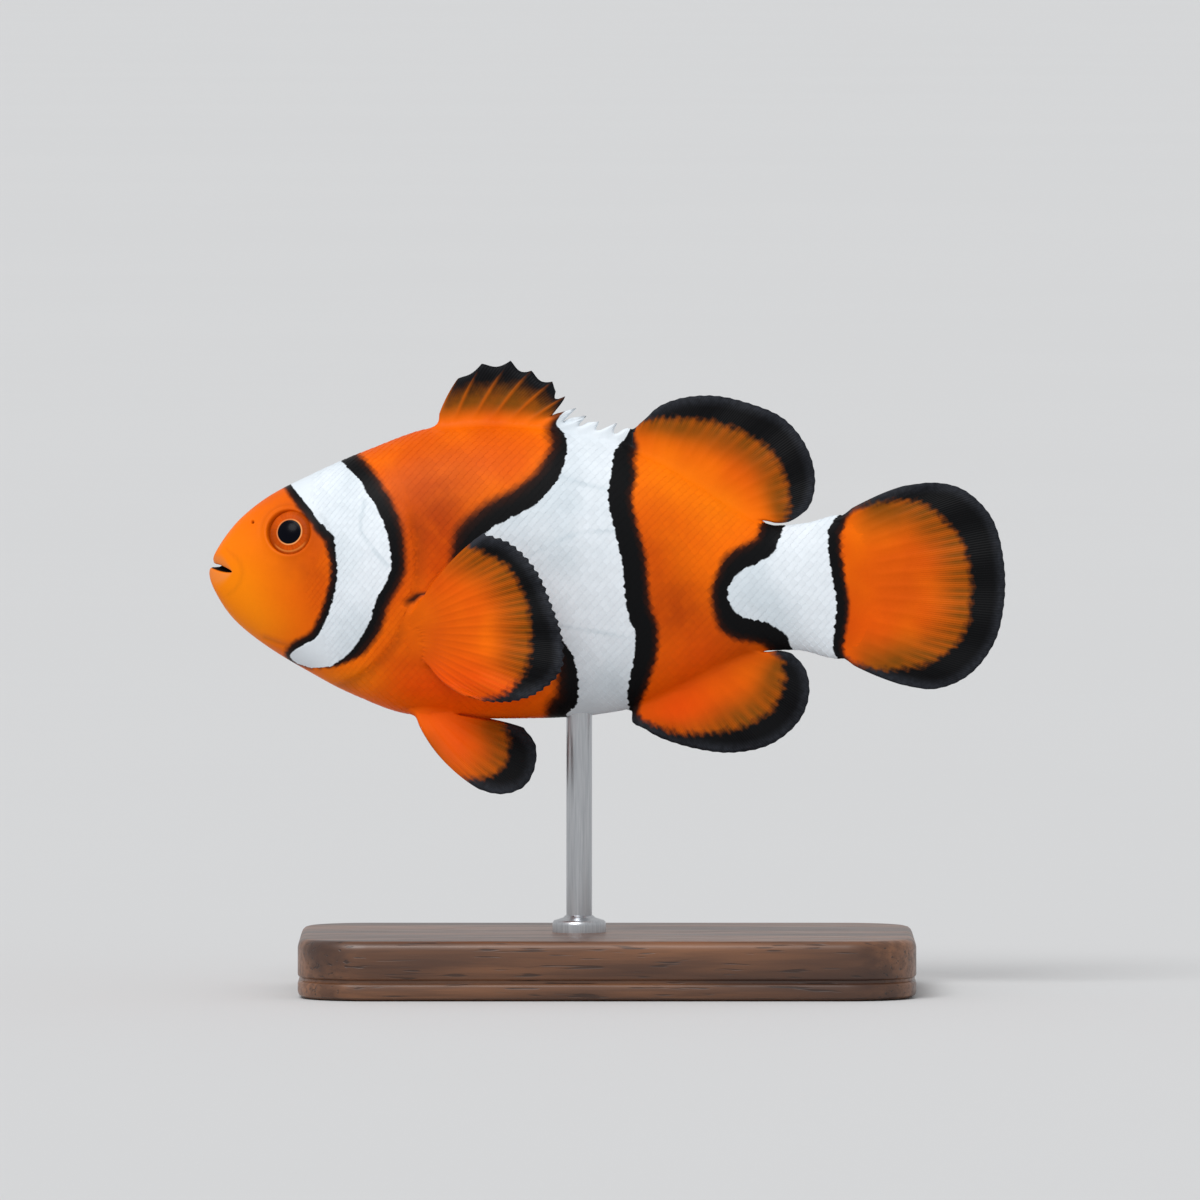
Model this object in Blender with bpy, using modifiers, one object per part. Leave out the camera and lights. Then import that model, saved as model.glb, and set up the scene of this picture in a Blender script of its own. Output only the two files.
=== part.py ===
"""An orange clownfish, life size, on a plain display stand, as faceted solids.

The fish faces -Y with its left side to +X. Places on it are given in millimetres by two
numbers: a, how far back from the tip of the lower lip, and h, how far above the level of
the mouth. Everything is turned into metres as the meshes are written.
"""

import math

import bmesh
import bpy
import numpy as np
from mathutils import Matrix, Vector

# ---------------------------------------------------------------- driving dimensions, mm
MM = 0.001
TOTAL_LENGTH = 80.0
MOUTH_LEVEL = 42.0
GAP = 0.3
RING_POINTS = 28

# Side profile and plan of the body, each as (a, value).
BACK = ((0.35, 1.9), (0.7, 2.7), (1.3, 3.7), (3, 5.7), (6, 8.05), (10, 10.1), (16, 12.7),
        (22.5, 14.9), (28, 15.4), (34, 15.0), (40, 13.8), (45, 12.0), (50, 9.1), (54, 6.4),
        (57, 5.05), (60, 5.3), (63.3, 6.1))
BELLY = ((0, 0), (0.1, -0.8), (0.4, -1.8), (1, -2.9), (3, -5.1), (6, -7.4), (10, -9.8),
         (14, -11.9), (20.5, -14.1), (29, -14.5), (36, -14.4), (42, -13.6), (47, -11.8),
         (52, -9.3), (56, -7.7), (59, -7.6), (63.3, -8.5))
AXIS = ((0.35, 0.98), (2.4, 0.42), (6, 0.4), (12, 0.9), (22, 1.3), (34, 1.1), (44, 0.4),
        (54, -0.8), (63.3, -1.2))
HALF_WIDTH = ((0, 1.8), (1, 2.3), (2.4, 2.85), (4, 3.55), (6, 4.35), (8, 5.0), (12, 5.9),
              (16, 6.45), (20, 6.7), (27, 6.6), (34, 6.1), (42, 5.0), (50, 3.7), (57, 2.5),
              (63.3, 1.35))
BACK_PINCH = ((0, 0.95), (8, 0.95), (16, 1.05), (26, 1.25), (50, 1.3), (58, 1.1), (63.3, 1.0))
BELLY_PINCH = ((0, 0.95), (12, 0.9), (22, 0.85), (36, 1.0), (50, 1.3), (58, 1.1), (63.3, 1.0))

# Where each ring round the body crosses the back, the side and the belly, and how it curves
# between them: 1 meets at an angle, as at the corner of the mouth, and 2 is round.
STATIONS = ((0.45, 2.4, 0.05, 1.0), (1.6, 3.3, 1.4, 1.4), (4.0, 5.2, 4.0, 2.0),
            (8.5, 10.0, 7.5, 2.0), (16.5, 20.6, 12.0, 2.0), (23.5, 26.5, 21.5, 2.0),
            (33.0, 33.5, 33.0, 2.0), (57.0, 57.0, 57.0, 2.0), (63.3, 63.3, 63.3, 2.0))
GILL_OPENING, TAIL_STEM, BODY_END = 4, 7, 8

# The mouth's inside, as rings drawn in from the outer lip: height and width kept, and setback.
MOUTH_DEPTH = 2.4
LIPS = ((0.2, 0.7, 1.4), (0.24, 0.86, 0.1), (0.62, 0.97, -0.06))

EYE_PLACE = (8.0, 4.35)
EYE_RADIUS = 2.45
EYE_DEPTH = 1.9
EYE_PROUD = 0.62

SPINE_TIPS = ((25.0, 19.8), (27.4, 21.3), (30.3, 21.6), (32.4, 20.6), (34.5, 19.5),
              (35.8, 18.0), (36.9, 16.8), (37.9, 16.0), (39.2, 15.5), (41.0, 15.3),
              (42.4, 15.5))
SPINY_BASE = (22.7, 41.8)
MEMBRANE_NOTCH = 0.13

SOFT_BASE = (42.6, 55.6)
SOFT_TIPS = ((43.1, 15.2), (45.5, 17.1), (50, 18.1), (54, 17.4), (58, 15.6), (60.3, 12.5),
             (60.95, 9), (60.3, 6.9), (58.6, 5.75))

ANAL_BASE = (42.4, 56.0)
ANAL_TIPS = ((42.8, -14.8), (45, -16.2), (49, -17.5), (53, -17.9), (57, -16.8), (59.8, -14),
             (60.4, -11.2), (59.9, -9.4), (58.9, -8.25))

TAIL_ROOTS = ((63.6, 6.1), (63.7, -1.2), (63.6, -8.4))
TAIL_TIPS = ((70, 8.95), (72.3, 9.3), (75.5, 8.8), (78.5, 6.2), (80, 1.2), (80, -3),
             (78.9, -7.1), (76, -10.4), (73, -11.5), (70, -11.1))

PECTORAL_ROOTS = ((21.3, -2.5), (22.0, -5.5), (22.2, -8.6))
PECTORAL_TIPS = ((27.6, 4.5), (30, 3.7), (32.6, 1.3), (34.4, -2.5), (35.5, -6), (35.4, -9),
                 (33, -11.4), (30, -12.3), (27, -12.1), (24.6, -10.9))
PECTORAL_SPREAD = 0.62
PECTORAL_CUP = 0.010

PELVIC_ROOTS = ((20.9, -14.5), (23.4, -14.8))
PELVIC_TIPS = ((27.2, -21.4), (28.6, -21.8), (30, -21.8), (31.7, -21.1), (32.7, -19.4),
               (32.8, -17.3), (31.6, -15.5))
PELVIC_INSET = 1.9
PELVIC_SPLAY = 0.36

FIN_ROOT_THICKNESS = 1.1
FIN_EDGE_THICKNESS = 0.55

BASE_LENGTH, BASE_WIDTH, BASE_HEIGHT = 62.0, 38.0, 6.0
BASE_CORNER, BASE_BEVEL = 7.0, 0.8
ROD_RADIUS = 1.3
ROD_PLACE = 37.2
ROD_IN_BASE = 3.7
ROD_IN_BELLY = 4.0

COLOURS = {
    "orange skin": ((0.86, 0.17, 0.005), 0.42, 0.0),
    "eye": ((0.01, 0.01, 0.02), 0.08, 0.0),
    "walnut": ((0.10, 0.045, 0.02), 0.45, 0.0),
    "steel": ((0.55, 0.55, 0.56), 0.3, 1.0),
}


# ------------------------------------------------------------------------------- curves
def hermite(at, value, slope):
    """The cubic through the values at these places, with these slopes."""
    def read(where):
        where = np.clip(np.asarray(where, float), at[0], at[-1])
        i = np.clip(np.searchsorted(at, where, side="right") - 1, 0, len(at) - 2)
        step = at[i + 1] - at[i]
        t = (where - at[i]) / step
        if value.ndim > 1:
            step, t = step[..., None], t[..., None]
        return ((1 + 2 * t) * (1 - t) ** 2 * value[i] + t * (1 - t) ** 2 * step * slope[i]
                + t * t * (3 - 2 * t) * value[i + 1] - t * t * (1 - t) * step * slope[i + 1])
    return read


def profile(points):
    """A smooth function through (place, value) pairs that never overshoots them."""
    at, value = np.array(points, float).T
    rise = np.diff(value) / np.diff(at)
    product = rise[:-1] * rise[1:]
    inner = np.where(product > 0, 2 * product / np.where(product > 0, rise[:-1] + rise[1:], 1), 0)
    return hermite(at, value, np.concatenate([rise[:1], inner, rise[-1:]]))


def path(points):
    """A smooth line through the points, read by a share from 0 to 1 of its length."""
    value = np.array(points, float)
    at = np.concatenate([[0], np.cumsum(np.linalg.norm(np.diff(value, axis=0), axis=1))])
    at /= at[-1]
    rise = np.diff(value, axis=0) / np.diff(at)[:, None]
    share = (np.diff(at)[1:] / (at[2:] - at[:-2]))[:, None] if len(at) > 2 else np.zeros((0, 1))
    inner = rise[:-1] * share + rise[1:] * (1 - share)
    return hermite(at, value, np.concatenate([rise[:1], inner, rise[-1:]]))


back, belly, axis = profile(BACK), profile(BELLY), profile(AXIS)
half_width = profile(HALF_WIDTH)
back_pinch, belly_pinch = profile(BACK_PINCH), profile(BELLY_PINCH)
station = [profile(list(enumerate(column))) for column in zip(*STATIONS)]


# --------------------------------------------------------------------------------- body
def ring(number, setback=0.0):
    """The points (x, a, h) of one ring round the body, counted in stations from the lips."""
    turn = 2 * math.pi * np.arange(RING_POINTS) / RING_POINTS
    side, up = np.cos(turn), np.sin(turn)
    at_back, at_side, at_belly, roundness = (float(read(number)) for read in station)
    at_end = np.where(up > 0, at_back, at_belly)
    a = at_side + (at_end - at_side) * np.abs(up) ** roundness + setback
    level = axis(a)
    reach = np.where(up > 0, back(a) - level, level - belly(a))
    pinch = np.where(up > 0, back_pinch(a), belly_pinch(a))
    x = half_width(a) * np.sign(side) * np.abs(side) ** pinch
    return np.stack([x, a, level + reach * up], axis=1)


def mouth_rings():
    """The rings from a point inside the mouth out to the crest of the lips."""
    corner = STATIONS[0][1]
    rings = [np.tile((0, corner + MOUTH_DEPTH, float(axis(corner))), (RING_POINTS, 1))]
    for keep_height, keep_width, setback in LIPS:
        rim = ring(0)
        level = axis(rim[:, 1])
        rim[:, 2] = level + keep_height * (rim[:, 2] - level)
        rim[:, 0] *= keep_width
        rim[:, 1] += setback
        rings.append(rim)
    return rings


def side_of_body(a, h):
    """Half the body's breadth at this place, seen from the side."""
    level = axis(a)
    reach = np.where(h > level, back(a) - level, level - belly(a))
    share = np.clip(np.abs(h - level) / reach, 0, 0.999)
    pinch = np.where(h > level, back_pinch(a), belly_pinch(a))
    return half_width(a) * np.sqrt(1 - share ** 2) ** pinch


# ------------------------------------------------------------------------------- meshes
def in_metres(points):
    """World places of (x, a, h) rows."""
    x, a, h = np.asarray(points, float).T
    return np.stack([x, a - TOTAL_LENGTH / 2, h + MOUTH_LEVEL], axis=1) * MM


def finished(obj, collection, colour):
    """Puts the object in its collection with its material and smooth shading."""
    for other in list(obj.users_collection):
        other.objects.unlink(obj)
    collection.objects.link(obj)
    if colour:
        obj.data.materials.append(material(colour))
        obj.data.shade_smooth()
        obj.data.set_sharp_from_angle(angle=math.radians(40))
    return obj


def material(name):
    """The named Principled material, made once."""
    if name in bpy.data.materials:
        return bpy.data.materials[name]
    colour, roughness, metallic = COLOURS[name]
    made = bpy.data.materials.new(name)
    made.use_nodes = True
    shader = made.node_tree.nodes["Principled BSDF"]
    shader.inputs["Base Color"].default_value = (*colour, 1)
    shader.inputs["Roughness"].default_value = roughness
    shader.inputs["Metallic"].default_value = metallic
    return made


def loft(name, rings, collection, colour):
    """A closed solid through like rings, with a fan of faces over each end."""
    count = len(rings[0])
    points = [rings[0].mean(axis=0)] + [row for rim in rings for row in rim]
    points.append(rings[-1].mean(axis=0))
    last = len(points) - 1
    faces = []
    for i in range(count):
        after = (i + 1) % count
        faces.append((0, 1 + after, 1 + i))
        faces.append((last, last - count + i, last - count + after))
        for level in range(len(rings) - 1):
            lower, upper = 1 + level * count, 1 + (level + 1) * count
            faces.append((lower + i, lower + after, upper + after, upper + i))
    mesh = bpy.data.meshes.new(name)
    mesh.from_pydata(in_metres(points).tolist(), [], faces)
    form = bmesh.new()
    form.from_mesh(mesh)
    bmesh.ops.remove_doubles(form, verts=form.verts, dist=1e-6)
    bmesh.ops.recalc_face_normals(form, faces=form.faces)
    form.to_mesh(mesh)
    form.free()
    return finished(bpy.data.objects.new(name, mesh), collection, colour)


def fin(name, roots, tips, rows, depth, bow, collection):
    """A fin: rays from root to tip points (a, h), thick at the root, with depth giving x."""
    share = np.linspace(0, 1, rows)[None, :, None]
    roots, tips = np.asarray(roots, float)[:, None], np.asarray(tips, float)[:, None]
    across = (tips - roots)[:, :, ::-1] * (-1, 1)
    across /= np.linalg.norm(across, axis=2, keepdims=True)
    lean = np.linspace(bow[0], bow[1], len(roots))[:, None, None]
    flat = roots + (tips - roots) * share + across * lean * 4 * share * (1 - share)
    x = depth(flat, roots)
    points = np.concatenate([x[..., None], flat], axis=2).reshape(-1, 3)
    grid = np.arange(len(points)).reshape(len(roots), rows)
    corners = (grid[:-1, :-1], grid[1:, :-1], grid[1:, 1:], grid[:-1, 1:])
    mesh = bpy.data.meshes.new(name)
    mesh.from_pydata(in_metres(points).tolist(), [], np.stack(corners, -1).reshape(-1, 4).tolist())
    made = finished(bpy.data.objects.new(name, mesh), collection, "orange skin")
    root = made.vertex_groups.new(name="root")
    thin = FIN_EDGE_THICKNESS / FIN_ROOT_THICKNESS
    for row in range(rows):
        weight = thin + (1 - thin) * (1 - row / (rows - 1)) ** 1.5
        root.add([int(i) for i in grid[:, row]], weight, "REPLACE")
    shell = made.modifiers.new("thickness", "SOLIDIFY")
    shell.thickness = FIN_ROOT_THICKNESS * MM
    shell.offset = 0
    shell.vertex_group = "root"
    return made


def along(base, line, rise, count):
    """Root points of a fin that stands on the back or hangs from the belly."""
    a = np.linspace(base[0], base[1], count)
    return np.stack([a, line(a) + rise], axis=1)


def in_midplane(flat, _roots):
    """The depth of a fin that lies in the fish's middle plane."""
    return np.zeros(flat.shape[:2])


# -------------------------------------------------------------------------------- parts
def body(collection, helpers):
    """Head, trunk and tail stem, parted behind the gill covers and at the tail stem."""
    head_rings = mouth_rings() + [ring(n) for n in np.linspace(0, 3, 13)]
    head_rings += [ring(n) for n in (3.25, 3.5, 3.75, GILL_OPENING)]
    head = loft("head", head_rings, collection, "orange skin")
    trunk_rings = [ring(GILL_OPENING, GAP)] + [ring(n) for n in (4.25, 4.5, 4.75)]
    trunk_rings += [ring(n) for n in np.linspace(5, TAIL_STEM, 15)]
    trunk = loft("trunk", trunk_rings, collection, "orange skin")
    stem_rings = [ring(TAIL_STEM, GAP)] + [ring(n) for n in np.linspace(7.2, BODY_END, 5)]
    loft("tail_stem", stem_rings, collection, "orange skin")
    for side in (1, -1):
        cut(head, eyeball("eye_socket", side, GAP, helpers, None))
    bore = rod("rod_hole", ROD_RADIUS + GAP, belly_at_rod() - 3, belly_at_rod() + ROD_IN_BELLY + GAP)
    cut(trunk, finished(bore, helpers, None))


def eye_centre():
    """The eyeball's centre on the left side, as (x, a, h), and the way it looks."""
    a, h = EYE_PLACE
    x = float(side_of_body(a, h))
    slope_a = float(side_of_body(a + 0.5, h) - side_of_body(a - 0.5, h))
    slope_h = float(side_of_body(a, h + 0.5) - side_of_body(a, h - 0.5))
    outward = Vector((1, -slope_a, -slope_h)).normalized()
    return Vector((x, a, h)) - outward * (EYE_DEPTH - EYE_PROUD), outward


def eyeball(name, side, grow, collection, colour):
    """A flattened ball set in the head, its flat side facing out."""
    centre, outward = eye_centre()
    form = bmesh.new()
    bmesh.ops.create_uvsphere(form, u_segments=20, v_segments=10, radius=1)
    size = Matrix.Diagonal((EYE_RADIUS + grow, EYE_RADIUS + grow, EYE_DEPTH + grow, 1))
    turn = outward.to_track_quat("Z", "Y").to_matrix().to_4x4()
    mirror = Matrix.Diagonal((side, 1, 1, 1))
    place = Matrix.Translation(centre)
    bmesh.ops.transform(form, matrix=mirror @ place @ turn @ size, verts=form.verts)
    for vertex in form.verts:
        vertex.co = in_metres([vertex.co])[0]
    bmesh.ops.recalc_face_normals(form, faces=form.faces)
    mesh = bpy.data.meshes.new(name)
    form.to_mesh(mesh)
    form.free()
    return finished(bpy.data.objects.new(name, mesh), collection, colour)


def median_fins(collection):
    """The spiny and soft parts of the dorsal fin, the anal fin and the tail fin."""
    tips, roots = [], []
    spine_roots = along(SPINY_BASE, back, GAP, len(SPINE_TIPS))
    for i, tip in enumerate(SPINE_TIPS):
        roots.append(spine_roots[i])
        tips.append(np.array(tip, float))
        if i + 1 < len(SPINE_TIPS):
            between = (spine_roots[i] + spine_roots[i + 1]) / 2
            edge = (np.array(tip) + SPINE_TIPS[i + 1]) / 2
            roots.append(between)
            tips.append(edge + (between - edge) * MEMBRANE_NOTCH)
    fin("dorsal_fin_spiny", roots, tips, 4, in_midplane, (0, 0), collection)
    count = 20
    rays = np.linspace(0, 1, count)
    fin("dorsal_fin_soft", along(SOFT_BASE, back, GAP, count), path(SOFT_TIPS)(rays), 6,
        in_midplane, (0.3, -0.2), collection)
    fin("anal_fin", along(ANAL_BASE, belly, -GAP, count), path(ANAL_TIPS)(rays), 6,
        in_midplane, (-0.3, 0.2), collection)
    rays = np.linspace(0, 1, 26)
    fin("tail_fin", path(TAIL_ROOTS)(rays), path(TAIL_TIPS)(rays), 7, in_midplane,
        (0.25, -0.25), collection)


def paired_fins(collection):
    """The pectoral and pelvic fins of both sides."""
    for word, side in (("left", 1), ("right", -1)):
        def pectoral_depth(flat, roots, side=side):
            start = side_of_body(roots[..., 0], roots[..., 1]) + GAP + FIN_ROOT_THICKNESS / 2
            back_by = flat[..., 0] - roots[..., 0]
            return side * (start + PECTORAL_SPREAD * back_by - PECTORAL_CUP * back_by ** 2)

        def pelvic_depth(flat, roots, side=side):
            return side * (PELVIC_INSET + PELVIC_SPLAY * (roots[..., 1] - flat[..., 1]))

        rays = np.linspace(0, 1, 19)
        fin("pectoral_fin_" + word, path(PECTORAL_ROOTS)(rays), path(PECTORAL_TIPS)(rays), 6,
            pectoral_depth, (0.5, -0.5), collection)
        rays = np.linspace(0, 1, 11)
        fin("pelvic_fin_" + word, path(PELVIC_ROOTS)(rays), path(PELVIC_TIPS)(rays), 5,
            pelvic_depth, (-0.9, 0.2), collection)
        eyeball("eye_" + word, side, 0.0, collection, "eye")


def belly_at_rod():
    """The height of the belly above the table where the rod meets it."""
    return MOUTH_LEVEL + float(belly(ROD_PLACE))


def rod(name, radius, bottom, top):
    """An upright round bar at the rod's place, between two heights above the table."""
    form = bmesh.new()
    bmesh.ops.create_cone(form, cap_ends=True, segments=24, radius1=radius * MM,
                          radius2=radius * MM, depth=(top - bottom) * MM)
    middle = Vector((0, ROD_PLACE - TOTAL_LENGTH / 2, (bottom + top) / 2)) * MM
    bmesh.ops.translate(form, verts=form.verts, vec=middle)
    mesh = bpy.data.meshes.new(name)
    form.to_mesh(mesh)
    form.free()
    return bpy.data.objects.new(name, mesh)


def cut(obj, cutter):
    """Cuts the helper's shape out of the object."""
    cutter.hide_render = True
    cutter.display_type = "WIRE"
    bite = obj.modifiers.new(cutter.name, "BOOLEAN")
    bite.operation = "DIFFERENCE"
    bite.object = cutter


def stand(collection, helpers):
    """A flat base with rounded corners, and one rod from it up into the belly."""
    form = bmesh.new()
    bmesh.ops.create_cube(form, size=1)
    size = Matrix.Diagonal((BASE_WIDTH * MM, BASE_LENGTH * MM, BASE_HEIGHT * MM, 1))
    bmesh.ops.transform(form, matrix=Matrix.Translation((0, 0, BASE_HEIGHT * MM / 2)) @ size,
                        verts=form.verts)
    upright = [e for e in form.edges if abs(e.verts[0].co.z - e.verts[1].co.z) > MM]
    bmesh.ops.bevel(form, geom=upright, offset=BASE_CORNER * MM, segments=6, profile=0.5,
                    affect="EDGES")
    top = [e for e in form.edges if min(v.co.z for v in e.verts) > (BASE_HEIGHT - 0.01) * MM]
    bmesh.ops.bevel(form, geom=top, offset=BASE_BEVEL * MM, segments=2, profile=0.5,
                    affect="EDGES")
    mesh = bpy.data.meshes.new("stand_base")
    form.to_mesh(mesh)
    form.free()
    base = finished(bpy.data.objects.new("stand_base", mesh), collection, "walnut")
    foot = BASE_HEIGHT - ROD_IN_BASE
    hole = rod("base_hole", ROD_RADIUS + GAP, foot - GAP, BASE_HEIGHT + 3)
    cut(base, finished(hole, helpers, None))
    finished(rod("stand_rod", ROD_RADIUS, foot, belly_at_rod() + ROD_IN_BELLY), collection, "steel")


def main():
    """Clears the scene and builds the fish and its stand."""
    for obj in list(bpy.data.objects):
        bpy.data.objects.remove(obj, do_unlink=True)
    collection = bpy.data.collections.new("clownfish")
    helpers = bpy.data.collections.new("cutters")
    for made in (collection, helpers):
        bpy.context.scene.collection.children.link(made)
    body(collection, helpers)
    median_fins(collection)
    paired_fins(collection)
    stand(collection, helpers)


main()
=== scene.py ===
"""The looks of an orange clownfish on its display stand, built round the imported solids.

Places on the fish are worked out in millimetres in its own measure: x to its left, a back
from the tip of the lower lip, and h up from the level of the mouth. FishFrame turns them into
metres in the shared frame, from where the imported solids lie.
"""

import logging
import math
from collections.abc import Callable, Sequence
from dataclasses import dataclass, field
from enum import Enum
from functools import partial, reduce

import bmesh
import bpy
import numpy as np
from mathutils import Euler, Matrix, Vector
from mathutils.kdtree import KDTree


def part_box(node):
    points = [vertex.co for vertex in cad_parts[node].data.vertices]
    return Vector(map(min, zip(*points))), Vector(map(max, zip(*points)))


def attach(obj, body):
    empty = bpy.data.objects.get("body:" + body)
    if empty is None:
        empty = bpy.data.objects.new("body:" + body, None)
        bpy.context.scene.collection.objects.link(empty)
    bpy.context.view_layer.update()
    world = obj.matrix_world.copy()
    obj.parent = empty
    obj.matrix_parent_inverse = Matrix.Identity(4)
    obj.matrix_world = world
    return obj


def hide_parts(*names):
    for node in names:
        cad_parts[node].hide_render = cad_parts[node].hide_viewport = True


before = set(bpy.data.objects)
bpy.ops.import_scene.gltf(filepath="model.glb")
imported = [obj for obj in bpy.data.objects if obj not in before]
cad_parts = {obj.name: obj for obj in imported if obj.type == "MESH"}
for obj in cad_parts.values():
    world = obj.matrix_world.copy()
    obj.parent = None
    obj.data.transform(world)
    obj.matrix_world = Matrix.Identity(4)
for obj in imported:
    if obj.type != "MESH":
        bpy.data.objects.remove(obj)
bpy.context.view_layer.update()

LOG = logging.getLogger("clownfish")
MM = 0.001
HALF_TURN = math.pi
TINY = 1e-12
FAR = 9.0  # stands for anything far from a mark or a border, in millimetres
Array = np.ndarray
Rows = Sequence[tuple[float, ...]]
Curve = Callable[[Array], Array]
Faces = list[tuple[int, ...]]
Object = bpy.types.Object
Mesh = bpy.types.Mesh
Material = bpy.types.Material
Socket = bpy.types.NodeSocket


# ---- curves
def cubic(at: Array, value: Array, slope: Array, where: Array) -> Array:
    """Reads the cubic through values at given places with given slopes, held at its ends.

    Args:
        at: Rising places.
        value: A value, or a row of values, for each place.
        slope: The slope at each place, shaped as value is.
        where: Any places.

    Returns:
        The value, or the row of values, at each of those.
    """
    where = np.clip(np.asarray(where, float), at[0], at[-1])
    i = np.clip(np.searchsorted(at, where, side="right") - 1, 0, len(at) - 2)
    step = at[i + 1] - at[i]
    t = (where - at[i]) / step
    if value.ndim > 1:
        step, t = step[..., None], t[..., None]
    ahead = (1 + 2 * t) * (1 - t) ** 2 * value[i] + t * t * (3 - 2 * t) * value[i + 1]
    return ahead + t * (1 - t) * step * ((1 - t) * slope[i] - t * slope[i + 1])


def profile(points: Rows) -> Curve:
    """Makes a smooth function that never overshoots the values that it goes through.

    Args:
        points: Rows of place and value, with rising places.

    Returns:
        The function.
    """
    at, value = np.array(points, float).T
    rise = np.diff(value) / np.diff(at)
    product = rise[:-1] * rise[1:]
    total = np.where(product > 0, rise[:-1] + rise[1:], 1)
    inner = np.where(product > 0, 2 * product / total, 0)
    return partial(cubic, at, value, np.concatenate([rise[:1], inner, rise[-1:]]))


def line_through(points: Rows) -> Curve:
    """Makes a smooth line through points.

    Args:
        points: Rows of coordinates.

    Returns:
        A function that gives points of the line at shares of its length.
    """
    value = np.array(points, float)
    at = np.concatenate([[0], np.cumsum(np.linalg.norm(np.diff(value, axis=0), axis=1))])
    at /= at[-1]
    rise = np.diff(value, axis=0) / np.diff(at)[:, None]
    share = (np.diff(at)[1:] / (at[2:] - at[:-2]))[:, None]
    inner = rise[:-1] * share + rise[1:] * (1 - share)
    return partial(cubic, at, value, np.concatenate([rise[:1], inner, rise[-1:]]))


def ease(value: Array, low: float, high: float) -> Array:
    """Rises smoothly from 0 at low to 1 at high, or falls where high is below low."""
    t = np.clip((value - low) / (high - low), 0, 1)
    return t * t * (3 - 2 * t)


def bell(value: Array, width: float) -> Array:
    """A bell of height 1 about 0, with this half width."""
    return np.exp(-((value / width) ** 2))


BLOCK = 4000


def nearest(points: Array, line: Array) -> tuple[Array, Array]:
    """Finds how far flat points are from a fine polyline.

    Args:
        points: Rows of (a, h).
        line: Rows of (a, h), close together.

    Returns:
        The distance of each point, and the number of the line's nearest row.
    """
    distance, row = [], []
    for block in np.array_split(points, max(1, len(points) // BLOCK)):
        gap = ((block[:, None] - line[None]) ** 2).sum(axis=2)
        best = gap.argmin(axis=1)
        row.append(best)
        distance.append(np.sqrt(gap[np.arange(len(block)), best]))
    return np.concatenate(distance), np.concatenate(row)


def gap_to(points: Array, rows: Rows, count: int) -> Array:
    """How far flat points are from the smooth line through rows, read at this many places."""
    return nearest(points, line_through(rows)(np.linspace(0, 1, count)))[0]


def ridges(gap: Array, rows: Rows) -> Array:
    """Ridges and grooves beside a line, from rows of (height, distance off it, half width)."""
    return sum(height * bell(gap - off, width) for height, off, width in rows)


def turns(count: int) -> Array:
    """Turns spaced evenly round a ring of this many points."""
    return 2 * HALF_TURN * np.arange(count) / count


# ---- fish's frame
@dataclass(frozen=True)
class FishFrame:
    """Where the fish lies in the shared frame, in millimetres.

    Attributes:
        nose: The lower lip's place along Y.
        level: The height of the mouth's level.
    """

    nose: float
    level: float

    @classmethod
    def from_solids(cls, back_peak: float) -> "FishFrame":
        """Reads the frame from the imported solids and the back's height above the mouth."""
        return cls(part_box("head")[0][1] / MM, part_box("trunk")[1][2] / MM - back_peak)

    def world(self, points: Array) -> Array:
        """Turns rows of (x, a, h) in millimetres into places in metres."""
        return (np.asarray(points, float) + (0, self.nose, self.level)) * MM


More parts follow.
